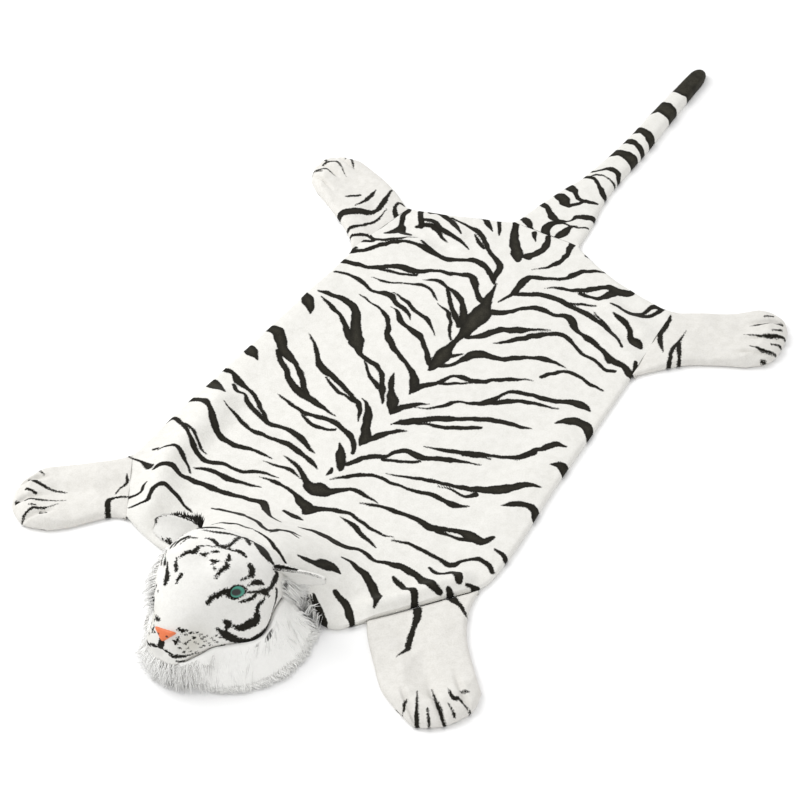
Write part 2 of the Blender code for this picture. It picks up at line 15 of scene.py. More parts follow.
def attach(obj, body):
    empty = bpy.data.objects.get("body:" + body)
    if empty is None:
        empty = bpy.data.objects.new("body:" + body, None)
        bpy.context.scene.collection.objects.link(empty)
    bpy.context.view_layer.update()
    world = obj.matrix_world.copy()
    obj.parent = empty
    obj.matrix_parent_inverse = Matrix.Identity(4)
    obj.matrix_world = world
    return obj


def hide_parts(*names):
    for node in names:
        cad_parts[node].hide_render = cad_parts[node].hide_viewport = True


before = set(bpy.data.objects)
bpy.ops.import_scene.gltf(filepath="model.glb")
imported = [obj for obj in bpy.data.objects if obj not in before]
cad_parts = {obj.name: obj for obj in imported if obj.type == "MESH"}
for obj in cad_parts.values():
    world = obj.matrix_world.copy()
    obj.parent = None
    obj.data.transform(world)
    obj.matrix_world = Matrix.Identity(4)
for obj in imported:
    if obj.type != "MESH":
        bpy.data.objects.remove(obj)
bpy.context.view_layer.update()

# ------------------------------------------------------------------ body panel
# The rug's body: one cut of short white plush, hemmed all round, with black stripes printed
# in the pile. It lies loose on the floor, wrinkled at the hips and shoulders, and its front
# end is drawn up over the stuffed neck, where the head is sewn to it.

SPINE_MARK = np.array((-0.0080, -0.0051))
PLUSH = 0.008          # the cloth's thickness with its pile
HEM_ROUND = 0.0065     # the pile turns down to the rim from this far in
SEAM_ROUND = 0.0005    # and from this far in where another piece is sewn on
HEM_LEVEL, SEAM_LEVEL = 0.5, 0.98    # where the rim stands between underside and pile
HEM_TUCK = 0.003       # the underside starts this far inside the rim
RIM_STEP = 0.0022      # how far apart the pile side's grid points are near the rim
FOLD_SLACK = 0.003     # the underside rises this much less than the pile in a fold
SEAM_EASE, SEAM_PAST, CORNER_PAST = 5, 4, 8    # grid steps: how wide, and how far past its ends
HIP_SEAM_LEFT = ((228, 190), (240, 45))
HIP_SEAM_RIGHT = ((-205, 197), (-226, 75))
SHOULDER_SEAM_LEFT = ((255, -398), (163, -512))
SHOULDER_SEAM_RIGHT = ((-246, -428), (-186, -524))
TAIL_SEAM = ((-58, 250), (49, 250))
NECK_SEAM = ((-60, -535), (80, -535))
FLANK_LEFT = ((245, -50), (252, -200), (260, -300), (261, -370))
FLANK_RIGHT = ((-230, -50), (-238, -200), (-243, -300), (-246, -380))
RUMP_LEFT = ((100, 224), (150, 206))
RUMP_RIGHT = ((-160, 214), (-105, 234))
CHEST_LEFT = ((115, -545), (140, -542))
CHEST_RIGHT = ((-150, -536), (-105, -545))
COARSE = 9             # grid steps of the pile side to one of the underside
HEAD_X = 0.010         # the face sits a little to the animal's left of the spine
NECK_FOOT_Y, NECK_RUN, NECK_HEIGHT, NECK_HALF_WIDTH = -0.400, 0.135, 0.076, 0.088

# Folds and creases: from (x, y), to (x, y), how far they spread, how high they lift the cloth.
# A minus is a hollow. Rumples: height, length from crest to crest, seed.
FOLDS = (
    (-206, -290, -200, -400, 26, 14),
    (-200, -410, -165, -500, 24, 18),
    (232, -400, 160, -492, 14, 12),
    (150, 150, 214, 128, 16, 6),
    (165, 95, 222, 75, 16, 5),
    (-150, 135, -200, 105, 20, 6),
    (-120, 180, -175, 185, 18, 5),
    (-215, -20, -215, -220, 22, 4),
    (215, -120, 225, -330, 30, 4),
)
CREASES = (
    (-170, -260, -168, -420, 15, -2.5),
    (-110, 150, -185, 150, 9, -2.5),
    (-150, 172, -196, 165, 7, -2.0),
    (175, 112, 228, 104, 8, -2.5),
    (160, 172, 215, 165, 9, -2.0),
    (190, -440, 130, -500, 12, -2.0),
    (110, -420, 190, -390, 14, -1.5),
    (-60, 60, -150, 20, 40, -1.2),
    (60, -240, 170, -170, 34, -1.2),
    (-40, -300, -150, -250, 36, -1.2),
)
RUMPLES = ((0.0011, 0.110, 2), (0.0005, 0.034, 3), (0.00016, 0.011, 4))


def catmull_rom(points, steps=24):
    """A Catmull-Rom curve through the points, each span cut into the same number of steps."""
    knots = np.array(points, float)
    ends = np.vstack([2 * knots[0] - knots[1], knots, 2 * knots[-1] - knots[-2]])
    t = np.linspace(0.0, 1.0, steps, endpoint=False)[None, :, None]
    a, b, c, d = (ends[k:len(ends) - 3 + k, None] for k in range(4))
    runs = 0.5 * (2 * b + (c - a) * t + (2 * a - 5 * b + 4 * c - d) * t ** 2
                  + (3 * b - a - 3 * c + d) * t ** 3)
    return np.vstack([runs.reshape(-1, knots.shape[1]), knots[-1:]])


def evenly(line, steps):
    """steps + 1 points at even distances along a line of points."""
    way = np.concatenate([[0.0], np.cumsum(np.linalg.norm(np.diff(line, axis=0), axis=1))])
    even = np.linspace(0.0, way[-1], steps + 1)
    return np.column_stack([np.interp(even, way, line[:, k]) for k in range(line.shape[1])])


def edge(*stretches):
    """One edge in metres, of (points in mm, steps) stretches that meet end to end."""
    runs = [evenly(catmull_rom(0.001 * np.array(points, float)), steps)
            for points, steps in stretches]
    return np.vstack([runs[0]] + [run[1:] for run in runs[1:]])


def filled(start, end, side_a, side_b):
    """A Coons patch: ruled one way, plus ruled the other way, less the bilinear corners."""
    along = np.linspace(0.0, 1.0, len(side_a))[:, None, None]
    across = np.linspace(0.0, 1.0, len(start))[None, :, None]
    ruled = ((1 - along) * start[None] + along * end[None]
             + (1 - across) * side_a[:, None] + across * side_b[:, None])
    corners = ((1 - along) * ((1 - across) * start[0] + across * start[-1])
               + along * ((1 - across) * end[0] + across * end[-1]))
    return ruled - corners


def ridges(x, y, folds):
    """For each fold a bell across its line, height * exp(-(distance / spread)^2)."""
    high, low = np.zeros_like(x), np.zeros_like(x)
    for ax, ay, bx, by, spread, height in 0.001 * np.array(folds, float):
        length = (bx - ax) ** 2 + (by - ay) ** 2
        t = np.clip(((x - ax) * (bx - ax) + (y - ay) * (by - ay)) / length, 0.0, 1.0)
        away = (x - ax - t * (bx - ax)) ** 2 + (y - ay - t * (by - ay)) ** 2
        bell = height * np.exp(-away / spread ** 2)
        high, low = np.maximum(high, bell), np.minimum(low, bell)
    return high + low


def ripple(x, y, size, seed, waves=9):
    """A calm uneven surface from -1 to 1: a sum of sine waves about size long, each its own way."""
    chance = np.random.default_rng(seed)
    total = np.zeros_like(x)
    for _ in range(waves):
        turn, phase = chance.uniform(0.0, 2.0 * np.pi, 2)
        pace = 2.0 * np.pi / (size * chance.uniform(0.7, 1.5))
        total += np.sin(pace * (x * math.cos(turn) + y * math.sin(turn)) + phase)
    return total / math.sqrt(waves) / 1.6


def neck_rise(x, y):
    """The stuffed neck: an S-curve along Y from its foot to the head, a flat-topped bell across."""
    way = np.clip((NECK_FOOT_Y - y) / NECK_RUN, 0.0, 1.0)
    across = np.abs(x - HEAD_X) / NECK_HALF_WIDTH
    return NECK_HEIGHT * way * way * (3.0 - 2.0 * way) * np.exp(-across ** 3.4)


def from_rim(rows, columns, step):
    """How far each grid point is from the rim: rings counted inwards, times one ring's width."""
    r, c = np.arange(rows), np.arange(columns)
    ring = np.minimum(np.minimum(r, rows - 1 - r)[:, None], np.minimum(c, columns - 1 - c)[None, :])
    return ring * step


def near_seam(rows, columns, wide, seams):
    """1 on the rim where another piece is sewn on, easing to 0 over a few cells, as a bell
    inwards and a slope along. A seam is a side of the grid and its first and last number."""
    r, c = np.arange(rows)[:, None], np.arange(columns)[None, :]
    share = np.zeros((rows, columns))
    for side, first, last in seams:
        away = {"first": r, "last": rows - 1 - r, "start": c, "end": columns - 1 - c}[side]
        along = c if side in ("first", "last") else r
        begun = np.clip((along - first) / wide, 0.0, 1.0)
        left_over = np.clip((last - along) / wide, 0.0, 1.0)
        share = np.maximum(share, begun * left_over * np.exp(-(away / wide) ** 2))
    return share


def rim_of(rows, columns):
    """Grid numbers once round the rim, as one array."""
    n = np.arange(rows * columns).reshape(rows, columns)
    return np.concatenate([n[0, :-1], n[:-1, -1], n[-1, :0:-1], n[:0:-1, 0]])


def cells(numbers):
    """The quads between neighbours in a grid of vertex numbers, its rows and columns last."""
    corners = [numbers[..., :-1, :-1], numbers[..., :-1, 1:], numbers[..., 1:, 1:], numbers[..., 1:, :-1]]
    return np.stack(corners, -1).reshape(-1, 4)


def cloth_mesh(name, top, rim_mid, under_rim, under, coarse, sewn):
    """A closed cloth: a fine pile side, a hem of two rings, and an underside of coarse cells.

    top is (rows, columns, 3) and its rim is the hem's middle; under_rim is the ring where the
    hem meets the floor; under is the underside at every coarse step. Cells along the rim take
    all the fine points of their edge, so nothing gapes. Where the rim is sewn on (the sewn
    grid is above a half) its edge is kept crisp, so that the pile meets the other piece's."""
    rows, columns = top.shape[:2]
    fine = np.arange(rows * columns).reshape(rows, columns)
    rim = rim_of(rows, columns)
    top.reshape(-1, 3)[rim] = rim_mid
    ring_start = rows * columns
    ring_number = np.full(rows * columns, -1)
    ring_number[rim] = ring_start + np.arange(len(rim))
    inner_start = ring_start + len(rim)
    crow, ccol = (rows - 1) // coarse + 1, (columns - 1) // coarse + 1
    inner = under[1:-1, 1:-1].reshape(-1, 3)
    vertices = np.vstack([top.reshape(-1, 3), under_rim, inner])
    here, there = rim, np.roll(rim, -1)
    hem = np.column_stack([here, ring_number[here], ring_number[there], there])
    cell = np.zeros((crow, ccol), int)
    cell[1:-1, 1:-1] = inner_start + np.arange(len(inner)).reshape(crow - 2, ccol - 2)
    spot = ring_number.reshape(rows, columns)
    cell[0], cell[-1] = spot[0, ::coarse], spot[-1, ::coarse]
    cell[:, 0], cell[:, -1] = spot[::coarse, 0], spot[::coarse, -1]
    faces = cells(fine).tolist() + hem.tolist()
    for r in range(crow - 1):
        for c in range(ccol - 1):
            r0, r1, c0, c1 = r * coarse, (r + 1) * coarse, c * coarse, (c + 1) * coarse
            face = [cell[r, c]]
            if r == 0:
                face += list(spot[0, c0 + 1:c1])
            face.append(cell[r, c + 1])
            if c == ccol - 2:
                face += list(spot[r0 + 1:r1, -1])
            face.append(cell[r + 1, c + 1])
            if r == crow - 2:
                face += list(spot[-1, c0 + 1:c1][::-1])
            face.append(cell[r + 1, c])
            if c == 0:
                face += list(spot[r0 + 1:r1, 0][::-1])
            faces.append([int(v) for v in reversed(face)])
    cloth = shown(name, vertices, faces)
    on_seam = np.zeros(len(vertices), bool)
    on_seam[rim] = sewn.ravel()[rim] > 0.5
    pairs = np.empty(len(cloth.data.edges) * 2, np.int32)
    cloth.data.edges.foreach_get("vertices", pairs)
    crisp = cloth.data.attributes.new("sharp_edge", "BOOLEAN", "EDGE")
    crisp.data.foreach_set("value", on_seam[pairs.reshape(-1, 2)].all(axis=1))
    return cloth


def hemmed(name, plan, top, under, sewn, coarse, rounding, rim_step, level, tuck):
    """A closed cloth whose pile side turns down to its rim in a quarter circle, by
    sqrt(1 - (1 - distance / rounding)^2). The rim stands at the given level between the two
    sides, higher and with a crisper edge where it is sewn on."""
    turn = from_rim(*top.shape, rim_step) / (rounding + (SEAM_ROUND - rounding) * sewn)
    middle = under + (top - under) * (level + (SEAM_LEVEL - level) * sewn)
    pile = middle + (top - middle) * np.sqrt(1.0 - (1.0 - np.clip(turn, 0.0, 1.0)) ** 2)
    rim = rim_of(*top.shape)
    outline = plan.reshape(-1, 2)[rim]
    run = np.roll(outline, -1, axis=0) - np.roll(outline, 1, axis=0)
    inward = np.column_stack([-run[:, 1], run[:, 0]]) / np.linalg.norm(run, axis=1)[:, None]
    inward *= np.sign(np.sum(inward * (outline.mean(axis=0) - outline)))
    tucked = outline + tuck * inward
    return cloth_mesh(name, np.dstack([plan + SPINE_MARK, pile]),
                      np.column_stack([outline + SPINE_MARK, middle.ravel()[rim]]),
                      np.column_stack([tucked + SPINE_MARK, under.ravel()[rim]]),
                      np.dstack([plan + SPINE_MARK, under])[::coarse, ::coarse], coarse, sewn)


def shown(name, vertices, faces):
    """A smooth-shaded mesh object at the origin, its normals outward."""
    mesh = bpy.data.meshes.new(name)
    mesh.from_pydata(np.asarray(vertices, float).tolist(), [], faces)
    form = bmesh.new()
    form.from_mesh(mesh)
    bmesh.ops.recalc_face_normals(form, faces=form.faces)
    form.to_mesh(mesh)
    form.free()
    mesh.polygons.foreach_set("use_smooth", np.ones(len(mesh.polygons), bool))
    made = bpy.data.objects.new(name, mesh)
    bpy.context.scene.collection.objects.link(made)
    return made


def places(thing):
    """The vertices of an object as an array."""
    flat = np.empty(len(thing.data.vertices) * 3, np.float32)
    thing.data.vertices.foreach_get("co", flat)
    return flat.reshape(-1, 3).astype(float)


def keep_values(thing, name, values):
    """Stores one number a vertex under a name."""
    layer = thing.data.attributes.new(name, "FLOAT", "POINT")
    layer.data.foreach_set("value", np.asarray(values, np.float32))


INK_SPREAD = 0.0006    # how far the body's print creeps in the pile past its drawn edge
NO_INK = -0.010        # as deep outside every stroke as is ever stored
STROKE_STEP = 0.0012   # how far apart a stroke's points are
SWELL_RUN = 0.0075     # a stroke swells and thins once in 2 pi of these
PAIRS_AT_ONCE = 4000000    # of a point and a stroke's point, so that their distances fit in memory


def stroke_lines(rows, wobble=0.12, seed=5):
    """Rows of (place..., width) knots in mm to fine lines in metres: (places, half widths).

    The width is eased between knots and swells and thins by the wobble along the way."""
    chance = np.random.default_rng(seed)
    lines = []
    for row in rows:
        line = 0.001 * catmull_rom(row)
        length = np.linalg.norm(np.diff(line[:, :-1], axis=0), axis=1).sum()
        line = evenly(line, max(4, int(length / STROKE_STEP)))
        way = np.linspace(0.0, length, len(line))
        swell = 1.0 + wobble * np.sin(way / SWELL_RUN + chance.uniform(0.0, 6.3))
        lines.append((line[:, :-1], 0.5 * np.clip(line[:, -1], 0.0, 1.0) * swell))
    return lines


def ink_depth(points, lines, reach=-NO_INK):
    """How deep each point is inside the strokes, in metres: half width less distance, at most."""
    deep = np.full(len(points), -reach)
    for line, half in lines:
        near = np.all((points > line.min(0) - reach - half.max())
                      & (points < line.max(0) + reach + half.max()), axis=1).nonzero()[0]
        for part in np.array_split(near, max(1, len(near) * len(line) // PAIRS_AT_ONCE)):
            if len(part):
                away = np.linalg.norm(points[part, None] - line[None], axis=2)
                deep[part] = np.maximum(deep[part], (half[None] - away).max(axis=1))
    return deep


def print_strokes(cloth, plan, strokes, drift, drift_size, drift_seed, spread=0.0):
    """Stores the strokes' ink on a cloth's pile side, their edges drifting in and out of line by
    two calm ripples. The underside's points, which come after the pile's and the hem's, get none."""
    flat = places(cloth)[:, :2] - SPINE_MARK
    astray = drift * np.column_stack([ripple(*flat.T, drift_size, drift_seed + k) for k in (0, 1)])
    ink = ink_depth(flat + astray, strokes) + spread
    ink[plan[..., 0].size + len(rim_of(*plan.shape[:2])):] = NO_INK
    keep_values(cloth, "ink", ink)


# The printed stripes, most of them from the outer end to the spine: (x, y, width) at a few
# places along each.
STRIPES = (
    ((-10, 115, 2), (-7, 90, 7), (-1, 66, 19), (3, 42, 27), (2, 20, 25), (3, 2, 13), (1, -20, 9),
     (0, -40, 14), (2, -62, 21), (2, -78, 14), (0, -90, 2)),
    ((-112, -3, 1), (-96, -10, 5), (-84, -24, 7), (-58, -33, 8), (-44, -38, 9), (-24, -57, 6),
     (-6, -78, 9)),
    ((158, 11, 1), (124, 11, 8), (100, 0, 8), (72, -20, 9), (40, -26, 13), (30, -44, 11),
     (22, -64, 5), (10, -74, 8)),
    ((22, -36, 2), (16, -44, 6), (8, -52, 7)),
    ((-164, -3, 1), (-140, -10, 3), (-116, -18, 4), (-100, -32, 6), (-86, -56, 8), (-74, -67, 10),
     (-60, -78, 7), (-36, -92, 6), (-18, -104, 8), (-2, -124, 12), (2, -144, 2)),
    ((132, -36, 1), (112, -44, 5), (84, -62, 7), (66, -76, 8), (40, -80, 7), (29, -92, 5),
     (24, -106, 6), (10, -120, 10), (2, -136, 8)),
    ((64, -82, 1), (48, -92, 5), (28, -106, 4)),
    ((-38, -118, 1), (-32, -134, 6), (-20, -154, 10), (-8, -170, 14), (0, -190, 3)),
    ((34, -146, 1), (22, -154, 5), (10, -168, 11), (2, -184, 7)),
    ((225, -48, 2), (208, -43, 12), (192, -47, 10), (172, -56, 8), (140, -62, 7), (118, -68, 5),
     (107, -84, 6), (98, -104, 9), (84, -116, 6), (62, -126, 4), (54, -138, 6), (40, -153, 3),
     (22, -162, 1)),
    ((186, -66, 2), (160, -72, 5), (132, -80, 8), (112, -96, 7), (100, -108, 4)),
    ((-214, -32, 2), (-196, -28, 9), (-170, -26, 9), (-150, -36, 12), (-134, -62, 13),
     (-118, -86, 22), (-106, -100, 12), (-92, -112, 8), (-66, -118, 6), (-50, -130, 8),
     (-38, -148, 7), (-28, -164, 7), (-18, -179, 2)),
    ((-204, -40, 1), (-182, -48, 7), (-160, -58, 5), (-144, -72, 7), (-126, -90, 9)),
    ((-86, -116, 2), (-72, -132, 4), (-60, -142, 5), (-40, -154, 6)),
    ((-229, -45, 7), (-218, -55, 14), (-206, -66, 12), (-198, -77, 2)),
    ((-234, -132, 12), (-218, -132, 15), (-204, -144, 16), (-190, -158, 14), (-166, -170, 8),
     (-146, -184, 8), (-130, -200, 8), (-114, -216, 8), (-90, -224, 8), (-60, -232, 1)),
    ((-196, -164, 4), (-182, -178, 9), (-166, -188, 6), (-152, -202, 9), (-130, -214, 10),
     (-104, -222, 8)),
    ((-180, -110, 1), (-160, -126, 4), (-144, -144, 7), (-128, -160, 9), (-104, -168, 9),
     (-84, -176, 6), (-60, -188, 6), (-46, -196, 7), (-36, -208, 5), (-28, -225, 1)),
    ((-112, -174, 2), (-88, -186, 5), (-68, -192, 4), (-50, -194, 5)),
    ((-238, -178, 9), (-226, -184, 15), (-216, -190, 10), (-207, -195, 1)),
    ((-48, -183, 1), (-36, -190, 5), (-24, -206, 9), (-14, -228, 12), (-4, -246, 14), (-3, -260, 3)),
    ((36, -205, 1), (18, -220, 8), (8, -234, 9), (0, -248, 9)),
    ((174, -119, 2), (150, -124, 7), (130, -128, 8), (104, -140, 8), (76, -156, 9), (56, -166, 10),
     (36, -184, 10), (20, -198, 8), (12, -206, 2)),
    ((118, -150, 3), (100, -162, 7), (72, -176, 6), (50, -182, 4), (38, -188, 3)),
    ((230, -126, 3), (216, -132, 9), (206, -146, 8), (196, -156, 9), (186, -172, 6), (166, -184, 5),
     (148, -189, 6), (126, -200, 8), (100, -210, 6), (70, -220, 1)),
    ((155, -194, 2), (138, -198, 4), (120, -206, 4)),
    ((202, -158, 4), (192, -172, 3), (185, -179, 1)),
    ((196, -94, 2), (205, -84, 9), (218, -76, 15), (234, -78, 16), (243, -88, 9), (247, -99, 3)),
    ((228, -167, 2), (240, -161, 10), (251, -166, 14), (254, -174, 6)),
    ((212, -264, 2), (224, -254, 8), (240, -246, 10), (252, -250, 12), (258, -260, 7)),
    ((240, -334, 2), (252, -336, 5), (260, -341, 6)),
    ((-150, -233, 1), (-124, -240, 4), (-100, -246, 6), (-76, -244, 8), (-56, -242, 8),
     (-36, -248, 7), (-20, -254, 8), (-8, -268, 6), (-3, -278, 5)),
    ((-100, -250, 2), (-80, -260, 5), (-62, -260, 5), (-46, -254, 4)),
    ((-241, -232, 7), (-222, -234, 7), (-204, -244, 8), (-180, -250, 6), (-164, -260, 5),
     (-144, -276, 5), (-126, -288, 6), (-104, -284, 8), (-80, -288, 8), (-60, -297, 6), (-46, -304, 1)),
    ((-208, -252, 4), (-196, -261, 6), (-184, -260, 4), (-172, -270, 7), (-150, -280, 6),
     (-130, -289, 5)),
    ((-244, -262, 12), (-232, -266, 20), (-218, -272, 13), (-204, -278, 1)),
    ((-28, -270, 1), (-20, -280, 8), (-12, -294, 12), (-2, -308, 9), (0, -315, 2)),
    ((150, -209, 1), (124, -218, 6), (104, -226, 8), (80, -238, 9), (56, -238, 8), (44, -246, 7),
     (34, -262, 6), (18, -273, 9), (10, -286, 8), (2, -300, 7)),
    ((80, -246, 3), (60, -258, 5), (36, -268, 4)),
    ((-194, -294, 1), (-168, -300, 5), (-140, -311, 6), (-112, -310, 6), (-86, -308, 8),
     (-60, -313, 7), (-40, -319, 6), (-26, -327, 1)),
    ((-11, -316, 4), (-9, -324, 6), (-10, -331, 2)),
    ((175, -285, 2), (160, -292, 7), (144, -292, 8), (124, -291, 7), (100, -296, 5), (72, -299, 5),
     (48, -299, 6), (30, -306, 6), (14, -320, 5), (-2, -334, 1)),
    ((238, -209, 1), (218, -217, 10), (206, -230, 13), (190, -242, 16), (172, -250, 12),
     (156, -258, 8), (130, -265, 5), (104, -271, 6), (80, -280, 4), (54, -288, 1)),
    ((172, -262, 7), (160, -272, 5), (140, -270, 3), (124, -274, 1)),
    ((-245, -307, 7), (-226, -304, 7), (-206, -312, 8), (-188, -328, 9), (-172, -340, 9),
     (-144, -346, 7), (-120, -341, 6), (-86, -341, 2)),
    ((-78, -328, 1), (-56, -334, 5), (-42, -341, 6), (-28, -352, 9), (-14, -360, 18), (-4, -358, 20),
     (8, -354, 14), (22, -342, 7), (34, -335, 6), (54, -336, 5), (72, -339, 1)),
    ((-94, -351, 1), (-72, -348, 4), (-54, -347, 4), (-36, -353, 1)),
    ((229, -316, 3), (222, -330, 11), (208, -330, 16), (190, -328, 9), (168, -334, 7), (152, -341, 9),
     (128, -338, 8), (104, -340, 6), (80, -342, 5), (52, -350, 1)),
    ((242, -407, 3), (248, -403, 5), (254, -401, 7)), ((227, -425, 7), (234, -430, 10)),
    ((206, -336, 6), (186, -340, 4), (162, -342, 6)),
    ((-244, -358, 2), (-238, -347, 5), (-222, -354, 6), (-200, -368, 5), (-180, -382, 7),
     (-158, -389, 7), (-134, -382, 6), (-108, -381, 5), (-84, -369, 5), (-60, -367, 1)),
    ((-214, -356, 3), (-192, -363, 3), (-178, -374, 3), (-164, -378, 1)),
    ((-82, -377, 1), (-58, -375, 4), (-30, -379, 6), (-12, -388, 11), (2, -394, 18), (2, -404, 3)),
    ((122, -380, 1), (100, -383, 4), (76, -378, 4), (52, -372, 5), (30, -378, 6), (12, -388, 10),
     (4, -398, 9)),
    ((257, -368, 5), (246, -360, 5), (230, -358, 5), (216, -368, 4), (206, -383, 8), (186, -381, 5),
     (160, -380, 5), (140, -380, 4), (122, -386, 1)),
    ((-215, -413, 2), (-208, -404, 6), (-199, -398, 6), (-184, -403, 6), (-161, -419, 2)),
    ((-164, -407, 2), (-140, -400, 6), (-112, -401, 7), (-88, -396, 4), (-69, -392, 1)),
    ((44, -383, 1), (66, -387, 5), (84, -396, 7), (98, -401, 4), (111, -405, 1)),
    ((-20, -414, 4), (-6, -416, 8), (8, -415, 2)),
    ((-198, -448, 3), (-192, -437, 7), (-180, -430, 8), (-168, -432, 7), (-156, -429, 8),
     (-126, -426, 8), (-106, -425, 9), (-84, -421, 6), (-62, -418, 9), (-50, -416, 10), (-36, -430, 8),
     (-18, -444, 4), (-2, -448, 1)),
    ((-246, -435, 2), (-224, -437, 4), (-208, -444, 7), (-204, -441, 3)),
    ((17, -439, 1), (38, -430, 8), (62, -431, 9), (80, -430, 8), (98, -420, 5), (120, -425, 5),
     (146, -418, 8), (174, -419, 10), (192, -426, 12), (205, -432, 12),
     (213, -433, 10), (220, -434, 8)),
    ((185, -401, 3), (196, -404, 5), (206, -402, 5), (213, -398, 6), (219, -397, 7), (225, -400, 9),
     (230, -405, 10), (232, -410, 8)),
    ((-100, -458, 1), (-80, -458, 4), (-57, -466, 7), (-29, -481, 8), (-8, -488, 6), (14, -499, 6),
     (18, -482, 3), (26, -468, 4), (40, -466, 1)),
    ((-58, -516, 1), (-30, -519, 3), (-14, -516, 3), (2, -513, 1)),
    ((91, -452, 2), (103, -449, 6), (125, -454, 9), (141, -464, 12), (159, -480, 10), (165, -497, 2)),
    ((66, -509, 2), (80, -497, 9), (88, -482, 13), (96, -476, 9), (103, -475, 2)),
    ((114, -503, 8), (130, -507, 9), (141, -516, 9), (152, -527, 7), (158, -534, 3)),
    ((101, -531, 3), (108, -536, 6), (116, -541, 7), (126, -546, 6)),
    ((99, -536, 1), (107, -541, 2), (114, -546, 2)), ((96, -539, 1), (103, -544, 2)),
    ((104, -533, 1), (110, -541, 2), (119, -547, 2)),
    ((155, -437, 3), (163, -441, 6), (172, -445, 7), (179, -449, 8), (186, -449, 9), (192, -451, 9),
     (198, -457, 9), (203, -465, 10)),
    ((-191, -513, 1), (-185, -510, 4), (-171, -500, 4), (-173, -490, 5), (-176, -477, 6),
     (-171, -465, 7), (-157, -463, 6), (-138, -469, 4), (-119, -476, 1)),
    ((-225, -412, 4), (-219, -410, 4)),
    ((-228, 46, 7), (-204, 50, 8), (-180, 56, 7), (-164, 68, 9), (-146, 78, 11), (-124, 80, 9),
     (-108, 90, 8), (-96, 98, 6), (-76, 102, 6), (-52, 112, 10), (-38, 102, 9), (-24, 84, 7), (-10, 74, 9)),
    ((-180, 56, 2), (-152, 62, 4), (-130, 68, 5), (-118, 74, 4)),
    ((-104, 70, 1), (-86, 79, 5), (-66, 74, 6), (-48, 68, 8), (-34, 58, 8), (-22, 42, 10), (-10, 22, 12)),
    ((-66, 72, 3), (-54, 58, 6), (-40, 40, 6), (-24, 24, 8), (-10, 10, 8)),
    ((-60, 36, 1), (-40, 28, 4), (-24, 10, 5), (-14, -10, 3), (-6, -20, 2)),
    ((-170, 38, 1), (-148, 40, 3), (-124, 50, 3), (-98, 60, 4), (-80, 55, 4), (-65, 41, 1)),
    ((-220, 19, 3), (-200, 26, 6), (-176, 22, 6), (-154, 14, 5), (-128, 18, 9), (-108, 6, 7),
     (-88, -1, 5), (-74, -14, 1)),
    ((-128, 26, 1), (-100, 18, 5), (-80, 6, 6), (-58, 0, 6), (-44, -10, 4), (-29, -25, 1)),
    ((236, 44, 12), (220, 54, 9), (204, 55, 10), (184, 66, 8), (160, 78, 6), (134, 86, 8),
     (112, 104, 11), (92, 98, 7), (66, 98, 10), (46, 86, 7), (32, 70, 8), (14, 60, 12)),
    ((202, 50, 5), (182, 66, 4), (158, 76, 5), (138, 84, 4)),
    ((102, 68, 1), (80, 55, 6), (60, 42, 12), (40, 30, 12), (28, 10, 9), (12, -4, 8)),
    ((216, 38, 5), (202, 35, 6), (184, 44, 5), (164, 47, 5), (140, 60, 5), (120, 68, 8), (98, 54, 8),
     (78, 34, 10), (62, 16, 6), (48, 3, 1)),
    ((220, -4, 2), (200, -2, 4), (178, 5, 6), (158, 2, 6), (144, -12, 7), (136, -24, 5)),
    ((-52, 247, 9), (-42, 224, 12), (-28, 202, 14), (-18, 190, 20), (-10, 176, 8)),
    ((2, 247, 9), (9, 224, 9), (6, 206, 11), (-2, 192, 16)),
    ((-20, 244, 7), (-15, 236, 5), (-10, 228, 1)),
    ((39, 250, 9), (44, 222, 7), (42, 202, 7), (32, 184, 4), (18, 169, 1)),
    ((-140, 211, 2), (-116, 208, 5), (-92, 204, 7), (-76, 194, 8), (-56, 174, 6), (-36, 160, 8),
     (-24, 150, 9), (-20, 132, 8), (-15, 114, 1)),
    ((-92, 196, 2), (-76, 182, 5), (-64, 174, 4)),
    ((116, 219, 1), (92, 210, 7), (78, 198, 8), (66, 176, 7), (46, 164, 6), (26, 154, 9), (20, 140, 11),
     (20, 112, 8), (11, 82, 1)),
    ((-226, 68, 5), (-206, 84, 6), (-190, 102, 7), (-168, 122, 6), (-140, 128, 7), (-104, 126, 9),
     (-82, 134, 7), (-64, 144, 10), (-44, 140, 8), (-24, 126, 8), (-14, 114, 3)),
    ((-148, 138, 2), (-128, 132, 6), (-104, 127, 6)),
    ((204, 82, 3), (196, 92, 5), (180, 104, 6), (152, 117, 6), (128, 124, 9), (100, 127, 8),
     (76, 130, 9), (54, 127, 10), (36, 116, 7), (20, 108, 7)),
    ((133, 144, 2), (112, 138, 5), (92, 128, 4)),
    ((184, 103, 2), (160, 118, 4), (136, 132, 1)),
    ((-172, 204, 7), (-162, 212, 8), (-142, 206, 9), (-124, 196, 8), (-108, 184, 2)),
    ((-170, 182, 4), (-156, 187, 8), (-138, 178, 7), (-112, 172, 6), (-98, 170, 6), (-82, 162, 1)),
    ((-172, 168, 6), (-156, 177, 7), (-140, 172, 7), (-128, 164, 5), (-116, 159, 1)),
    ((-136, 227, 2), (-116, 231, 6), (-100, 236, 7), (-86, 226, 7), (-73, 215, 1)),
    ((-77, 242, 6), (-68, 226, 5), (-60, 213, 1)),
    ((-184, 198, 8), (-176, 184, 9), (-166, 170, 6)),
    ((-203, 196, 8), (-203, 186, 8), (-201, 174, 8), (-195, 162, 7), (-190, 152, 12), (-194, 141, 10),
     (-203, 130, 5)),
    ((-190, 150, 10), (-181, 144, 10), (-171, 145, 6)),
    ((-221, 112, 7), (-213, 107, 6), (-204, 106, 7), (-189, 115, 6), (-170, 132, 3), (-157, 144, 1)),
    ((-223, 97, 4), (-214, 98, 5), (-205, 101, 3)),
    ((-227, 72, 6), (-222, 80, 4)),
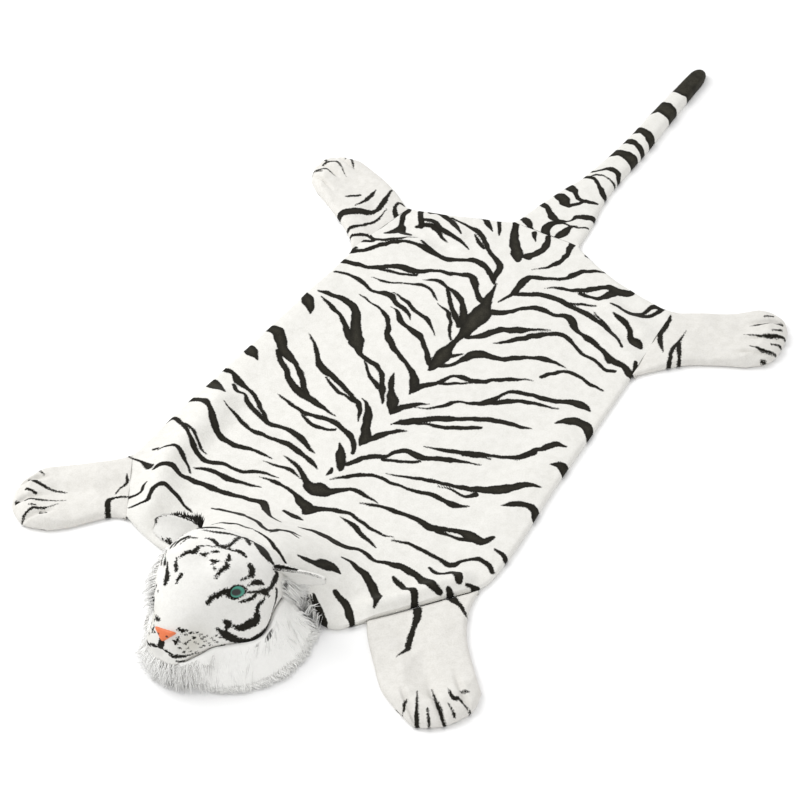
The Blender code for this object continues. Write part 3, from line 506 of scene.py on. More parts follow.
    ((52, 144, 1), (68, 153, 5), (84, 158, 7), (104, 168, 9), (118, 182, 9), (130, 190, 11),
     (146, 188, 13), (160, 194, 12), (160, 202, 5)),
    ((100, 157, 4), (120, 158, 6), (132, 164, 10), (140, 180, 12)),
    ((150, 156, 3), (162, 155, 6), (176, 153, 8), (187, 154, 8), (195, 168, 5), (200, 184, 9),
     (207, 191, 10), (214, 192, 6)),
    ((187, 154, 6), (200, 161, 6), (209, 173, 6), (213, 184, 8), (215, 191, 6)),
    ((160, 141, 2), (180, 132, 7), (194, 124, 7), (206, 108, 10), (216, 104, 14), (225, 98, 4)),
    ((68, 236, 4), (84, 234, 4), (100, 231, 1)),
    ((234, 66, 5), (240, 52, 6)),
    ((6, -514, 2), (14, -514, 3), (28, -518, 4), (43, -525, 4), (55, -530, 4), (63, -533, 3)),
    ((20, -500, 2), (21, -482, 3), (28, -471, 3), (43, -475, 2)),
    ((-203, -497, 4), (-191, -487, 5), (-193, -478, 5), (-193, -470, 2)),
)

rear = edge(((HIP_SEAM_RIGHT[0], *RUMP_RIGHT, TAIL_SEAM[0]), 9 * COARSE), (TAIL_SEAM, 8 * COARSE),
            ((TAIL_SEAM[1], *RUMP_LEFT, HIP_SEAM_LEFT[0]), 9 * COARSE))
front = edge(((SHOULDER_SEAM_RIGHT[1], *CHEST_RIGHT, NECK_SEAM[0]), 9 * COARSE),
             (NECK_SEAM, 10 * COARSE),
             ((NECK_SEAM[1], *CHEST_LEFT, SHOULDER_SEAM_LEFT[1]), 7 * COARSE))
right = edge((HIP_SEAM_RIGHT, 6 * COARSE),
             ((HIP_SEAM_RIGHT[1], *FLANK_RIGHT, SHOULDER_SEAM_RIGHT[0]), 26 * COARSE),
             (SHOULDER_SEAM_RIGHT, 8 * COARSE))
left = edge((HIP_SEAM_LEFT, 6 * COARSE),
            ((HIP_SEAM_LEFT[1], *FLANK_LEFT, SHOULDER_SEAM_LEFT[0]), 26 * COARSE),
            (SHOULDER_SEAM_LEFT, 8 * COARSE))
plan = filled(rear, front, right, left)
x, y = plan[..., 0], plan[..., 1]
raised = np.maximum(ridges(x, y, FOLDS), 0.0)
calm = sum(height * ripple(x, y, size, seed) for height, size, seed in RUMPLES)
pile = PLUSH + raised + neck_rise(x, y) + ridges(x, y, CREASES) + calm
floor_side = np.maximum(raised - FOLD_SLACK, 0.0)
sewn = near_seam(*x.shape, SEAM_EASE, (
    ("first", 9 * COARSE - SEAM_PAST, 17 * COARSE + SEAM_PAST),     # the tail's seam
    ("last", 9 * COARSE - SEAM_PAST, 19 * COARSE + SEAM_PAST),      # the neck's
    ("start", -CORNER_PAST, 6 * COARSE + SEAM_PAST),                # the right hip's
    ("start", 32 * COARSE - SEAM_PAST, 41 * COARSE),                # the right shoulder's
    ("end", -CORNER_PAST, 6 * COARSE + SEAM_PAST),                  # the left hip's
))
body = hemmed("body_plush", plan, pile, floor_side, sewn, COARSE, HEM_ROUND, RIM_STEP, HEM_LEVEL, HEM_TUCK)
print_strokes(body, plan, stroke_lines(STRIPES), 0.0011, 0.016, 11, INK_SPREAD)


def add_node(tree, kind, inputs):
    """Places a node. Each input is given a plain value, or the socket that feeds it."""
    node = tree.nodes.new(kind)
    for name, value in inputs.items():
        if isinstance(value, bpy.types.NodeSocket):
            tree.links.new(value, node.inputs[name])
        else:
            node.inputs[name].default_value = value
    return node


def stretched(tree, value, low, high):
    """A value's way from low to high, as 0 to 1, and held there beyond."""
    inputs = {"Value": value, "From Min": low, "From Max": high}
    return add_node(tree, "ShaderNodeMapRange", inputs).outputs["Result"]


def noise(tree, where, scale, detail=2.0):
    """Soft noise from 0 to 1 at the given places, so many lumps a metre."""
    inputs = {"Vector": where, "Scale": scale, "Detail": detail}
    return add_node(tree, "ShaderNodeTexNoise", inputs).outputs["Fac"]


def pile_grain():
    """A group: how pile catches the light. Fine and clump noise, mixed to a height and a shade."""
    group = bpy.data.node_groups.new("pile_grain", "ShaderNodeTree")
    for name, start in (("Fine", 700.0), ("Clump", 90.0)):
        socket = group.interface.new_socket(name, in_out="INPUT", socket_type="NodeSocketFloat")
        socket.default_value = start
    for name in ("Height", "Shade", "Edge"):
        group.interface.new_socket(name, in_out="OUTPUT", socket_type="NodeSocketFloat")
    given, out = group.nodes.new("NodeGroupInput"), group.nodes.new("NodeGroupOutput")
    where = group.nodes.new("ShaderNodeTexCoord").outputs["Object"]
    fine = noise(group, where, given.outputs["Fine"])
    clump = noise(group, where, given.outputs["Clump"], 3.0)
    height = add_node(group, "ShaderNodeMix", {"Factor": 0.45, "A": fine, "B": clump}).outputs["Result"]
    group.links.new(height, out.inputs["Height"])
    group.links.new(stretched(group, height, 0.3, 0.6), out.inputs["Shade"])
    group.links.new(fine, out.inputs["Edge"])
    return group


PILE_GRAIN = pile_grain()
PILE_WHITE = (0.775, 0.765, 0.73)
PILE_SHADE = (0.685, 0.675, 0.635)
INK = (0.012, 0.011, 0.008)
INK_WORN = (0.030, 0.027, 0.020)
INK_SOFT = 0.0006      # half the width over which black pile gives way to white


def grain_in(tree, fine, clump):
    """The pile grain placed in a material, so many fine and clump lumps a metre: its outputs."""
    grain = tree.nodes.new("ShaderNodeGroup")
    grain.node_tree = PILE_GRAIN
    grain.inputs["Fine"].default_value = fine
    grain.inputs["Clump"].default_value = clump
    return grain.outputs


def new_material(name, plain):
    """A new material, its node tree, and its shader with plain values set."""
    made = bpy.data.materials.new(name)
    made.use_nodes = True
    shader = made.node_tree.nodes["Principled BSDF"]
    for socket, value in plain.items():
        shader.inputs[socket].default_value = value
    return made, made.node_tree, shader


def vertex_value(tree, name):
    """The number that the piece's vertices store under a name."""
    node = tree.nodes.new("ShaderNodeAttribute")
    node.attribute_name = name
    return node.outputs["Fac"]


def scaled(tree, value, factor, added=0.0):
    """value * factor + added."""
    node = tree.nodes.new("ShaderNodeMath")
    node.operation = "MULTIPLY_ADD"
    for socket, given in zip(node.inputs, (value, factor, added)):
        if isinstance(given, float):
            socket.default_value = given
        else:
            tree.links.new(given, socket)
    return node.outputs["Value"]


def mixed(tree, factor, first, second):
    """A mix of two colours, each given plain or as the socket that feeds it."""
    mix = add_node(tree, "ShaderNodeMix", {"Factor": factor})
    mix.data_type = "RGBA"
    for socket, value in zip([k for k in mix.inputs if k.type == "RGBA"], (first, second)):
        if isinstance(value, tuple):
            socket.default_value = (*value, 1.0)
        else:
            tree.links.new(value, socket)
    return [k for k in mix.outputs if k.type == "RGBA"][0]


def bump_normal(tree, height, strength, distance):
    """The normals of a surface pushed out by a height."""
    inputs = {"Height": height, "Strength": strength, "Distance": distance}
    return add_node(tree, "ShaderNodeBump", inputs).outputs["Normal"]


def printed_plush(name, white=PILE_WHITE, shade=PILE_SHADE, worn_ink=INK_WORN, painted_shade=None,
                  fine=560.0, clump=90.0, fuzz=0.0050, bump=0.5, depth=0.0012):
    """Plush with stripes printed in the pile: black where the piece's ink value, made uneven
    by the pile's grain, is above 0, and a little worn towards a broad stroke's middle. Where
    the piece stores a share of shade, painted shade darkens the pile towards the given colour."""
    made, tree, shader = new_material(name, {
        "Roughness": 0.95, "Sheen Weight": 0.05, "Sheen Roughness": 0.5,
        "Specular IOR Level": 0.08})
    grain, ink = grain_in(tree, fine, clump), vertex_value(tree, "ink")
    ragged = scaled(tree, grain["Edge"], fuzz, ink)
    inked = stretched(tree, ragged, 0.5 * fuzz - INK_SOFT, 0.5 * fuzz + INK_SOFT)
    worn = scaled(tree, stretched(tree, ink, 0.0015, 0.0090), grain["Shade"])
    plain = mixed(tree, grain["Shade"], shade, white)
    # Painted shade, as much as the piece stores, darkens the plain pile.
    if painted_shade:
        plain = mixed(tree, vertex_value(tree, "pad_shade"), plain, painted_shade)
    black = mixed(tree, worn, INK, worn_ink)
    tree.links.new(mixed(tree, inked, plain, black), shader.inputs["Base Color"])
    tree.links.new(bump_normal(tree, grain["Height"], bump, depth), shader.inputs["Normal"])
    return made


STRIPED_PLUSH = printed_plush("striped_plush", fuzz=0.0030, worn_ink=(0.040, 0.037, 0.027))
body.data.materials.append(STRIPED_PLUSH)
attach(body, "root")
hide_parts("body_panel")

# ------------------------------------------------------------------ legs
# Four lightly padded legs of the same short plush, each sewn to its edge of the body. They are
# full along their sides, slack down the middle, and drawn in along three stitched toe lines,
# with black lines and claws printed on the paws. Their white is painted a little darker than
# the body's, as painted shade.

# For each leg: its seam, and whether the pile runs on level across it; its heights at the seam,
# along it and at the paw; the cut of its two edges and its toes; its printed marks as (x, y,
# width), and its hollows as the body's folds are given.
LEGS = {
    "hindleg_left": dict(
        seam=HIP_SEAM_LEFT, flush=True, heights=(8.8, 17, 23),
        edge_out=((262, 207), (300, 228), (330, 252)),
        toes=((346, 260), (377, 245), (390, 205), (387, 165), (364, 142)),
        edge_in=((262, 72), (292, 103), (330, 126)),
        marks=(((336, 210, 1), (348, 218, 5), (372, 240, 4)),
               ((336, 190, 1), (358, 197, 4), (378, 209, 5), (389, 217, 4)),
               ((352, 168, 1), (370, 170, 4), (383, 175, 5), (390, 180, 3)),
               ((347, 235, 3), (356, 243, 4)), ((367, 213, 3), (377, 223, 4)),
               ((378, 188, 3), (389, 197, 4)), ((379, 156, 3), (384, 160, 3)),
               ((228, 182, 3), (232, 176, 5), (235, 154, 8), (236, 138, 9), (244, 121, 7), (257, 103, 2)),
               ((264, 161, 1), (266, 141, 4), (266, 131, 5), (266, 112, 7), (275, 84, 6)),
               ((266, 136, 3), (269, 128, 5), (276, 112, 7), (288, 90, 6))),
        hollows=((268, 165, 300, 160, 16, -3.5), (300, 200, 340, 205, 20, -2.0))),
    "hindleg_right": dict(
        seam=HIP_SEAM_RIGHT, flush=True, heights=(8.8, 18, 24),
        edge_out=((-236, 219), (-270, 237), (-304, 249)),
        toes=((-334, 254), (-365, 242), (-375, 213), (-364, 182), (-346, 166)),
        edge_in=((-246, 100), (-275, 122), (-312, 146)),
        marks=(((-372, 190, 3), (-352, 201, 4), (-331, 198, 1)),
               ((-368, 212, 3), (-345, 224, 4), (-318, 206, 1)),
               ((-340, 250, 3), (-329, 240, 4), (-317, 227, 1)),
               ((-362, 193, 4), (-354, 195, 3)), ((-366, 224, 4), (-360, 220, 3)),
               ((-345, 247, 4), (-341, 241, 2)),
               ((-293, 166, 3), (-286, 172, 6), (-278, 181, 4)),
               ((-270, 154, 2), (-264, 172, 7), (-264, 188, 6), (-265, 203, 3)),
               ((-282, 124, 13), (-273, 136, 16), (-258, 147, 12), (-243, 160, 10), (-239, 175, 9),
                (-242, 195, 7), (-245, 216, 4)),
               ((-258, 102, 5), (-250, 112, 6), (-238, 126, 6), (-229, 146, 5), (-229, 176, 2)),
               ((-245, 90, 3), (-243, 97, 6), (-234, 105, 6), (-223, 112, 7)),
               ((-213, 200, 4), (-222, 199, 6), (-222, 190, 5), (-217, 179, 7), (-209, 171, 9))),
        hollows=((-262, 190, -300, 205, 16, -3.0), (-240, 150, -256, 185, 12, -2.5))),
    "foreleg_left": dict(
        seam=SHOULDER_SEAM_LEFT, flush=False, heights=(6.5, 15, 22),
        edge_out=((262, -435), (280, -472), (310, -508)),
        toes=((338, -538), (343, -568), (327, -601), (297, -621), (263, -610)),
        edge_in=((180, -536), (207, -566), (234, -594)),
        marks=(((277, -582, 1), (290, -606, 5), (300, -622, 5)),
               ((287, -567, 1), (305, -585, 5), (326, -603, 4)),
               ((306, -562, 1), (318, -571, 5), (326, -568, 4), (342, -572, 3)),
               ((272, -600, 3), (277, -614, 4)), ((301, -600, 3), (311, -613, 4)),
               ((318, -581, 3), (331, -589, 4)), ((321, -556, 3), (329, -553, 3)),
               ((203, -463, 10), (208, -467, 10), (215, -480, 10), (220, -497, 8), (225, -514, 7),
                (231, -531, 7), (228, -550, 1)),
               ((229, -428, 10), (238, -431, 11), (249, -436, 7), (264, -446, 4))),
        hollows=((205, -500, 232, -520, 18, -6.0), (246, -520, 290, -575, 12, -4.0),
                 (232, -545, 262, -590, 10, 3.0))),
    "foreleg_right": dict(
        seam=SHOULDER_SEAM_RIGHT, flush=True, heights=(10.5, 18, 24),
        edge_out=((-268, -456), (-295, -480), (-318, -502)),
        toes=((-329, -524), (-335, -555), (-320, -586), (-291, -601), (-260, -592)),
        edge_in=((-205, -532), (-222, -552), (-240, -574)),
        marks=(((-326, -542, 3), (-314, -543, 5), (-294, -540, 4), (-275, -532, 2)),
               ((-317, -580, 4), (-291, -565, 4), (-264, -545, 1)),
               ((-294, -602, 3), (-290, -585, 4), (-277, -573, 3), (-268, -557, 1)),
               ((-324, -524, 4), (-314, -526, 3)), ((-315, -560, 5), (-303, -557, 4)),
               ((-296, -580, 2), (-288, -576, 3)), ((-277, -581, 4), (-272, -577, 3)),
               ((-229, -464, 2), (-221, -476, 5), (-221, -489, 4), (-221, -501, 2)),
               ((-203, -540, 8), (-215, -524, 7), (-219, -514, 6), (-211, -502, 4), (-199, -494, 4)),
               ((-248, -435, 3), (-236, -437, 3))),
        hollows=((-232, -500, -285, -540, 14, -4.0), (-225, -480, -240, -520, 12, -2.0))),
}
LEG_FINE = 6                         # grid steps to a cell of the underside
LEG_ROWS, LEG_COLUMNS = 15 * LEG_FINE, 14 * LEG_FINE
LEG_ROUND, LEG_RIM_STEP = 0.008, 0.0016
TOES_ACROSS = (0.26, 0.50, 0.74)     # where the stitched toe lines lie, as shares of the width
TOE_WIDTH, TOE_DEPTH = 0.028, 0.0055
TOE_START, TOE_RUN = 0.66, 0.14      # where along the leg they begin, and how soon they are deep
LEG_WAYS = (0.0, 0.30, 0.62, 0.85, 1.0)
THINNEST = 0.006
PAD_LEVEL, PAD_TUCK, PAD_EASE = 0.45, 0.004, 4    # a padded piece's hem, as the body's is given
SEAM_GAP = 0.1                       # mm that a limb's cut stays clear of the body's edge
# The legs' plush: the body's plush with its white painted a little darker, as painted shade.
LEG_PLUSH_SHADED = printed_plush("white_plush", (0.735, 0.72, 0.685), (0.64, 0.625, 0.585), clump=110.0)


def leg_height(way, across, seam, leg, paw):
    """Full over the paw and along both sides, slack down the middle, drawn in at the toe lines:
    straight runs from height to height along the leg, times (4 across (1 - across))^0.45."""
    height = np.interp(way, LEG_WAYS, (seam, leg, leg, paw, 0.6 * paw))
    rounded = np.clip(4.0 * across * (1.0 - across), 0.0, 1.0) ** 0.45
    slack = 1.0 - 0.22 * np.exp(-((across - 0.5) / 0.2) ** 2) * np.sin(np.pi * way)
    grooves = sum(np.exp(-((across - place) / TOE_WIDTH) ** 2) for place in TOES_ACROSS)
    toe_way = np.clip((way - TOE_START) / TOE_RUN, 0.0, 1.0)
    high = PLUSH + (height - PLUSH) * rounded * slack - TOE_DEPTH * grooves * toe_way
    return np.maximum(high, THINNEST)


def padded_piece(name, plan, top, rounding, rim_step, coarse, flush=True):
    """A closed padded piece: a bulging pile side, a round hem, and a flat underside. Its first
    row is sewn to the body. Where that seam isn't flush, the hem stays round there too."""
    seam = ("first", -CORNER_PAST, top.shape[1] + CORNER_PAST)
    sewn = near_seam(*top.shape, PAD_EASE, (seam,)) * flush
    return hemmed(name, plan, top, 0.0 * top, sewn, coarse, rounding, rim_step, PAD_LEVEL, PAD_TUCK)


def limb_plan(seam, inside, side_a, tip, side_b, rows, columns):
    """A limb's cut, moved off the body's edge, and the shares of the way along it and across."""
    ends = np.array(seam, float)
    run = (ends[1] - ends[0]) / np.linalg.norm(ends[1] - ends[0])
    normal = np.array([-run[1], run[0]])
    first, last = ends - SEAM_GAP * normal * np.sign(normal @ (np.array(inside) - ends[0]))
    plan = filled(edge(((first, last), columns)), edge((tip, columns)),
                  edge(((first, *side_a, tip[0]), rows)), edge(((last, *side_b, tip[-1]), rows)))
    return plan, np.linspace(0.0, 1.0, rows + 1)[:, None], np.linspace(0.0, 1.0, columns + 1)[None, :]


for number, (name, form) in enumerate(LEGS.items()):
    spine_point = (0.0, 0.5 * (form["seam"][0][1] + form["seam"][1][1]))
    plan, way, across = limb_plan(form["seam"], spine_point, form["edge_out"], form["toes"],
                                  form["edge_in"], LEG_ROWS, LEG_COLUMNS)
    x, y = plan[..., 0], plan[..., 1]
    top = leg_height(way, across, *(0.001 * h for h in form["heights"]))
    top = top + ridges(x, y, form["hollows"]) + 0.0007 * ripple(x, y, 0.04, 20 + number)
    top = np.maximum(top + 0.0002 * ripple(x, y, 0.012, 30 + number), THINNEST)
    leg = padded_piece(name + "_plush", plan, top, LEG_ROUND, LEG_RIM_STEP, LEG_FINE, form["flush"])
    print_strokes(leg, plan, stroke_lines(form["marks"], seed=number), 0.0007, 0.014, 41)
    leg.data.materials.append(LEG_PLUSH_SHADED)
    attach(leg, "root")
    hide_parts(name)

# ------------------------------------------------------------------ tail
# A padded tapering tube of the striped plush, sewn across the body's rear edge, ringed with
# black bands that lean forward on its left side, and black at its tip.

TAIL_LEFT = ((44, 300), (34, 355), (30, 400), (31, 500), (28, 600))
TAIL_RIGHT = ((-48, 300), (-34, 355), (-20, 400), (-8, 500), (-5, 600))
TAIL_TIP = ((1, 718), (5, 732), (13, 739), (21, 733), (25, 718))
TAIL_HEIGHTS = ((0.0, 0.35, 0.60, 0.97, 1.0), (0.0088, 0.015, 0.018, 0.018, 0.0125))
TAIL_BANDS = (
    ((-12, 672, 26), (8, 670, 32), (34, 664, 32)), ((12, 690, 48), (12, 706, 50), (13, 735, 50)),
    ((-10, 600, 38), (8, 606, 32), (34, 596, 18)),
    ((-12, 532, 17), (12, 534, 18), (36, 520, 14)), ((-12, 500, 11), (10, 502, 13), (36, 490, 12)),
    ((-12, 466, 19), (13, 470, 20), (38, 462, 18)),
    ((-16, 411, 4), (-8, 413, 5), (6, 427, 9), (22, 425, 9), (34, 407, 7)),
    ((-13, 398, 3), (4, 408, 4), (25, 404, 4), (36, 400, 3)),
    ((-24, 393, 5), (-4, 396, 7), (10, 386, 8), (30, 368, 8)),
    ((-36, 364, 11), (-31, 363, 12), (-15, 357, 12), (-3, 345, 9), (9, 342, 7), (28, 348, 5)),
    ((-44, 338, 9), (-23, 334, 16), (-10, 323, 12), (0, 326, 8), (9, 342, 5)),
    ((-48, 311, 8), (-30, 302, 12), (-16, 289, 11), (-2, 284, 8), (13, 293, 5), (18, 305, 8),
     (38, 317, 11)),
    ((-4, 247, 14), (-10, 262, 16), (-6, 275, 9), (8, 282, 5), (26, 284, 4), (42, 294, 3)),
    ((13, 249, 7), (17, 264, 12), (20, 281, 7), (26, 287, 3)),
    ((-58, 266, 5), (-42, 261, 11), (-28, 250, 7)),
)
TAIL_RIM = 0.007       # how high the tail's edges stand, and how far in they are rounded
TAIL_FINE, TAIL_RIM_STEP = 4, 0.0014
plan, way, across = limb_plan(TAIL_SEAM, (0.0, 0.0), TAIL_RIGHT, TAIL_TIP, TAIL_LEFT,
                              60 * TAIL_FINE, 12 * TAIL_FINE)
x, y = plan[..., 0], plan[..., 1]
# A half circle across the tail, as high as the heights along it.
half_circle = np.sqrt(4.0 * across * (1.0 - across))
top = TAIL_RIM + (np.interp(way, *TAIL_HEIGHTS) - TAIL_RIM) * half_circle
top = top + 0.0006 * ripple(x, y, 0.03, 51) * half_circle
tail = padded_piece("tail_plush", plan, top, TAIL_RIM, TAIL_RIM_STEP, TAIL_FINE)
print_strokes(tail, plan, stroke_lines(TAIL_BANDS, 0.2), 0.001, 0.012, 52)
tail.data.materials.append(STRIPED_PLUSH)
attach(tail, "root")
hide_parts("tail")

# ------------------------------------------------------------------ head
# The stuffed head: short plush drawn over a moulded face, with brow, eye hollows, cheeks,
# whisker pads and chin, and the tiger's markings printed on it. Painted shade greys the
# whisker pads. It is sewn to the neck.

HEAD_SLICES = (   # y, half width, underside, top
    (-535.3, 60, 12, 90), (-547.3, 65, 12, 103), (-565, 69, 12, 116), (-590, 71, 12, 125),
    (-615, 69, 12, 129), (-637, 62, 12, 126), (-655, 52, 12, 118), (-670, 42, 14, 109),
    (-685, 34, 18, 100), (-698, 28, 23, 91), (-708, 23, 29, 82), (-715, 15, 38, 71),
    (-717.6, 8, 45, 61), (-718, 0.2, 52, 52.4),
)
HEAD_MIDDLE = (0, -610, 66)
HEAD_NECK_POINT, HEAD_NOSE_POINT = (0.0, -0.5353, 0.051), (0.0, -0.7181, 0.0522)
FACE_FORMS = (    # x, y, z, spread, height: on both sides where x is above 0
    (30, -622, 130, 16, 5), (48, -630, 106, 14, -4), (63, -624, 43, 28, 15),
    (18, -704, 60, 12, 5), (0, -716, 58, 7, -4), (0, -700, 28, 14, 4), (0, -622, 131, 13, -3),
    (36, -672, 38, 9, -2.5), (38, -633, 118, 9, 2.5), (-47, -626, 114, 9, 6.5),
)
HEAD_SIDES, HEAD_RINGS = 240, 170


def head_shell(rings, sides, swell=0.0, roundness=2.3):
    """The head as (rings, sides) points: superellipses through the slices, pushed out or in
    from the middle by a bell for each form of the face."""
    rows = evenly(catmull_rom(0.001 * np.array(HEAD_SLICES)), rings - 1)
    angle = np.linspace(0.0, 2.0 * np.pi, sides, endpoint=False)
    side = np.sign(np.cos(angle)) * np.abs(np.cos(angle)) ** (2.0 / roundness)
    rise = np.sign(np.sin(angle)) * np.abs(np.sin(angle)) ** (2.0 / roundness)
    half_width, half_height = rows[:, 1] + swell, 0.5 * (rows[:, 3] - rows[:, 2]) + swell
    shell = np.stack([half_width[:, None] * side, np.repeat(rows[:, :1], sides, 1),
                      0.5 * (rows[:, 2] + rows[:, 3])[:, None] + half_height[:, None] * rise], -1)
    away = shell - 0.001 * np.array(HEAD_MIDDLE)
    away /= np.linalg.norm(away, axis=-1, keepdims=True)
    push = np.zeros(shell.shape[:2])
    for fx, fy, fz, spread, height in 0.001 * np.array(FACE_FORMS, float):
        for mirror in ((-1, 1) if fx > 0 else (1,)):
            reach = np.sum((shell - np.array((mirror * fx, fy, fz))) ** 2, axis=-1)
            push += height * np.exp(-reach / spread ** 2)
    return shell + push[..., None] * away


def loft_faces(rings, sides):
    """Faces of rings of points joined side to side and along, and of a point closing each end:
    the two end points come after all the rings."""
    n = np.arange(rings * sides).reshape(rings, sides)
    joined = np.concatenate([n, n[:, :1]], axis=1)
    ends = [[int(a), int(b), rings * sides] for a, b in zip(joined[0], joined[0, 1:])]
    ends += [[int(a), int(b), rings * sides + 1] for a, b in zip(joined[-1], joined[-1, 1:])]
    return cells(joined).tolist() + ends


def closed_loft(name, shell, first_cap, last_cap):
    """A closed shape of rings of points, with a point closing each end."""
    points = np.vstack([shell.reshape(-1, 3), first_cap, last_cap])
    return shown(name, points, loft_faces(*shell.shape[:2]))


# Face markings: (x, y, z, width), x from the face's middle line. The first table is on both
# sides, the second is on the middle line or differs from side to side. The third, on both
# sides again, lines the mouth and the nose.
FACE_MARKS = (
    ((41, -638, 114, 6), (36, -647, 112, 8), (32, -654, 111, 9), (30, -660, 107, 6)),
    ((58, -619, 103, 4), (65, -608, 97, 4), (68, -599, 90, 7), (71, -595, 81, 4)),
    ((68, -599, 90, 6), (68, -587, 87, 8), (66, -575, 88, 8), (64, -568, 88, 7), (61, -567, 93, 4)),
    ((56, -633, 98, 3), (60, -626, 96, 5), (64, -616, 96, 5), (66, -611, 98, 2)),
    ((71, -603, 86, 3), (70, -606, 83, 5), (70, -615, 84, 8), (71, -621, 77, 9), (72, -626, 69, 11),
     (69, -634, 69, 10), (63, -645, 68, 10), (57, -650, 74, 5)),
    ((49, -657, 84, 4), (53, -654, 78, 7), (52, -658, 70, 4)),
    ((71, -579, 79, 3), (72, -580, 68, 5), (74, -588, 57, 5), (76, -602, 50, 5), (78, -616, 47, 6),
     (75, -630, 46, 10), (69, -640, 46, 11), (61, -651, 51, 10), (52, -659, 63, 9), (45, -665, 75, 6)),
    ((22, -550, 104, 4), (31, -552, 104, 13), (44, -559, 104, 15), (52, -561, 100, 11),
     (57, -562, 96, 4)),
    ((42, -592, 117, 3), (47, -594, 115, 8), (52, -600, 113, 8), (51, -607, 114, 5), (48, -617, 116, 3)),
    ((56, -614, 108, 3), (58, -606, 107, 7), (61, -600, 104, 7), (64, -595, 98, 3)),
)
MIDDLE_MARKS = (
    ((-38, -571, 114, 4), (-24, -570, 117, 6), (-12, -564, 115, 6), (-3, -558, 111, 5)),
    ((-6, -563, 114, 3), (2, -557, 110, 5), (12, -552, 106, 5), (20, -549, 103, 4)),
    ((10, -551, 106, 11), (16, -556, 109, 9), (24, -564, 113, 2)),
    ((6, -560, 112, 5), (8, -572, 119, 6), (9, -584, 124, 8)),
    ((10, -590, 125, 4), (16, -589, 124, 5), (26, -584, 121, 6), (34, -586, 119, 3)),
    ((-21, -588, 123, 3), (-12, -587, 124, 5), (-1, -592, 125, 5), (7, -590, 125, 8)),
    ((-42, -610, 121, 2), (-43, -603, 119, 4), (-41, -595, 119, 4), (-31, -593, 122, 3)),
    ((-28, -632, 127, 3), (-25, -627, 129, 5), (-20, -621, 130, 5), (-16, -617, 130, 5),
     (-18, -607, 128, 5)),
    ((-17, -607, 128, 2), (-10, -600, 127, 2), (-2, -597, 126, 2)),
    ((-8, -616, 128, 3), (-4, -612, 128, 4)), ((-5, -615, 128, 4), (-2, -617, 128, 3)),
    ((0, -606, 128, 3), (5, -603, 128, 5)),
    ((7, -617, 128, 3), (12, -617, 129, 5)), ((12, -622, 129, 3), (14, -618, 129, 4), (17, -615, 129, 3)),
    ((17, -626, 129, 3), (20, -628, 129, 3)),
    ((19, -599, 126, 4), (24, -606, 127, 7), (23, -611, 128, 4), (29, -616, 130, 7), (27, -626, 128, 5),
     (26, -636, 125, 3)),
    ((-31, -633, 125, 3), (-28, -640, 122, 6), (-23, -646, 120, 5)),
    ((-14, -649, 120, 5), (-15, -655, 117, 5), (-15, -659, 114, 3)),
    ((-49, -655, 88, 3), (-46, -658, 90, 5)), ((-40, -664, 92, 2), (-38, -666, 93, 4)),
)
MUZZLE_LINES = (
    ((0, -716, 66, 5), (5, -716, 65, 4), (11, -717, 65, 5), (17, -716, 61, 6), (24, -712, 60, 5),
     (30, -702, 54, 3), (32, -690, 49, 2), (35, -680, 44, 1)),
    ((36, -676, 42, 1), (39, -669, 40, 6), (42, -664, 40, 9), (48, -661, 43, 6)),
    ((0, -711, 78, 5), (1, -714, 72, 6), (1, -716, 66, 7)),
    ((15, -700, 91, 4), (19, -697, 88, 6), (23, -693, 86, 3)),
    ((18, -704, 82, 3), (17, -708, 77, 4)),
    ((20, -714, 51, 3), (25, -708, 48, 4)), ((28, -700, 40, 3), (29, -698, 34, 4)),
)
# The whisker spots, in rows over each pad: x, y, z.
WHISKER_SPOTS = (
    (12, -709, 79), (18, -706, 78), (24, -702, 74), (29, -691, 76), (30, -692, 69), (34, -684, 70),
    (36, -681, 71), (38, -677, 71), (21, -697, 83), (25, -691, 83), (30, -686, 81), (21, -709, 71),
    (27, -702, 67), (34, -686, 57), (36, -682, 57), (39, -677, 58), (42, -671, 59), (46, -665, 61),
    (31, -692, 53), (26, -697, 75), (33, -688, 64), (37, -680, 64), (41, -674, 65), (44, -669, 66),
    (27, -699, 60), (40, -675, 52), (44, -668, 54), (34, -684, 77), (22, -706, 64),
)
WHISKER_PAD, PAD_SPREAD = (0.028, -0.692, 0.068), 0.020    # painted shade on the pads, on each side: its middle and how far it spreads


def on_surface(tree, lines):
    """The lines, each point moved to the nearest place of a surface."""
    return [(np.array([tree.find_nearest(Vector(p))[0][:] for p in line]), half)
            for line, half in lines]


def both_sides(rows):
    """The rows, and the same rows mirrored across the middle."""
    return tuple(rows) + tuple(tuple((-x, *rest) for x, *rest in row) for row in rows)


EYE_PLACE = np.array((0.0455, -0.6278, 0.1050))
EYE_SIZE = np.array((0.0125, 0.0060, 0.0075))
EYE_MEAN = 0.009       # about the size of the ball, all ways together
EYE_TURN = (math.radians(-39.0), math.radians(-5.0), math.radians(36.0))
LID = 0.0016           # how far the black lid reaches from the eyeball


def turning(angles, side):
    """The matrix that turns about X, then Y, then Z; side -1 mirrors the turn."""
    ax, ay, az = angles[0], side * angles[1], side * angles[2]
    rx = np.array([[1, 0, 0], [0, math.cos(ax), -math.sin(ax)], [0, math.sin(ax), math.cos(ax)]])
    ry = np.array([[math.cos(ay), 0, math.sin(ay)], [0, 1, 0], [-math.sin(ay), 0, math.cos(ay)]])
    rz = np.array([[math.cos(az), -math.sin(az), 0], [math.sin(az), math.cos(az), 0], [0, 0, 1]])
    return rz @ ry @ rx


def turned(points, angles, side):
    """The points, turned by the angles."""
    return points @ turning(angles, side).T


def turned_back(points, angles, side):
    """The points, turned the other way round, as they were before."""
    return points @ turning(angles, side)


def eye_middle(side):
    """The eyeball's middle: the left one is set a little further out than the right one."""
    out = turned(np.array((0.0, -0.0018 if side > 0 else 0.0004, 0.0)), EYE_TURN, side)
    return EYE_PLACE * (side, 1, 1) + out


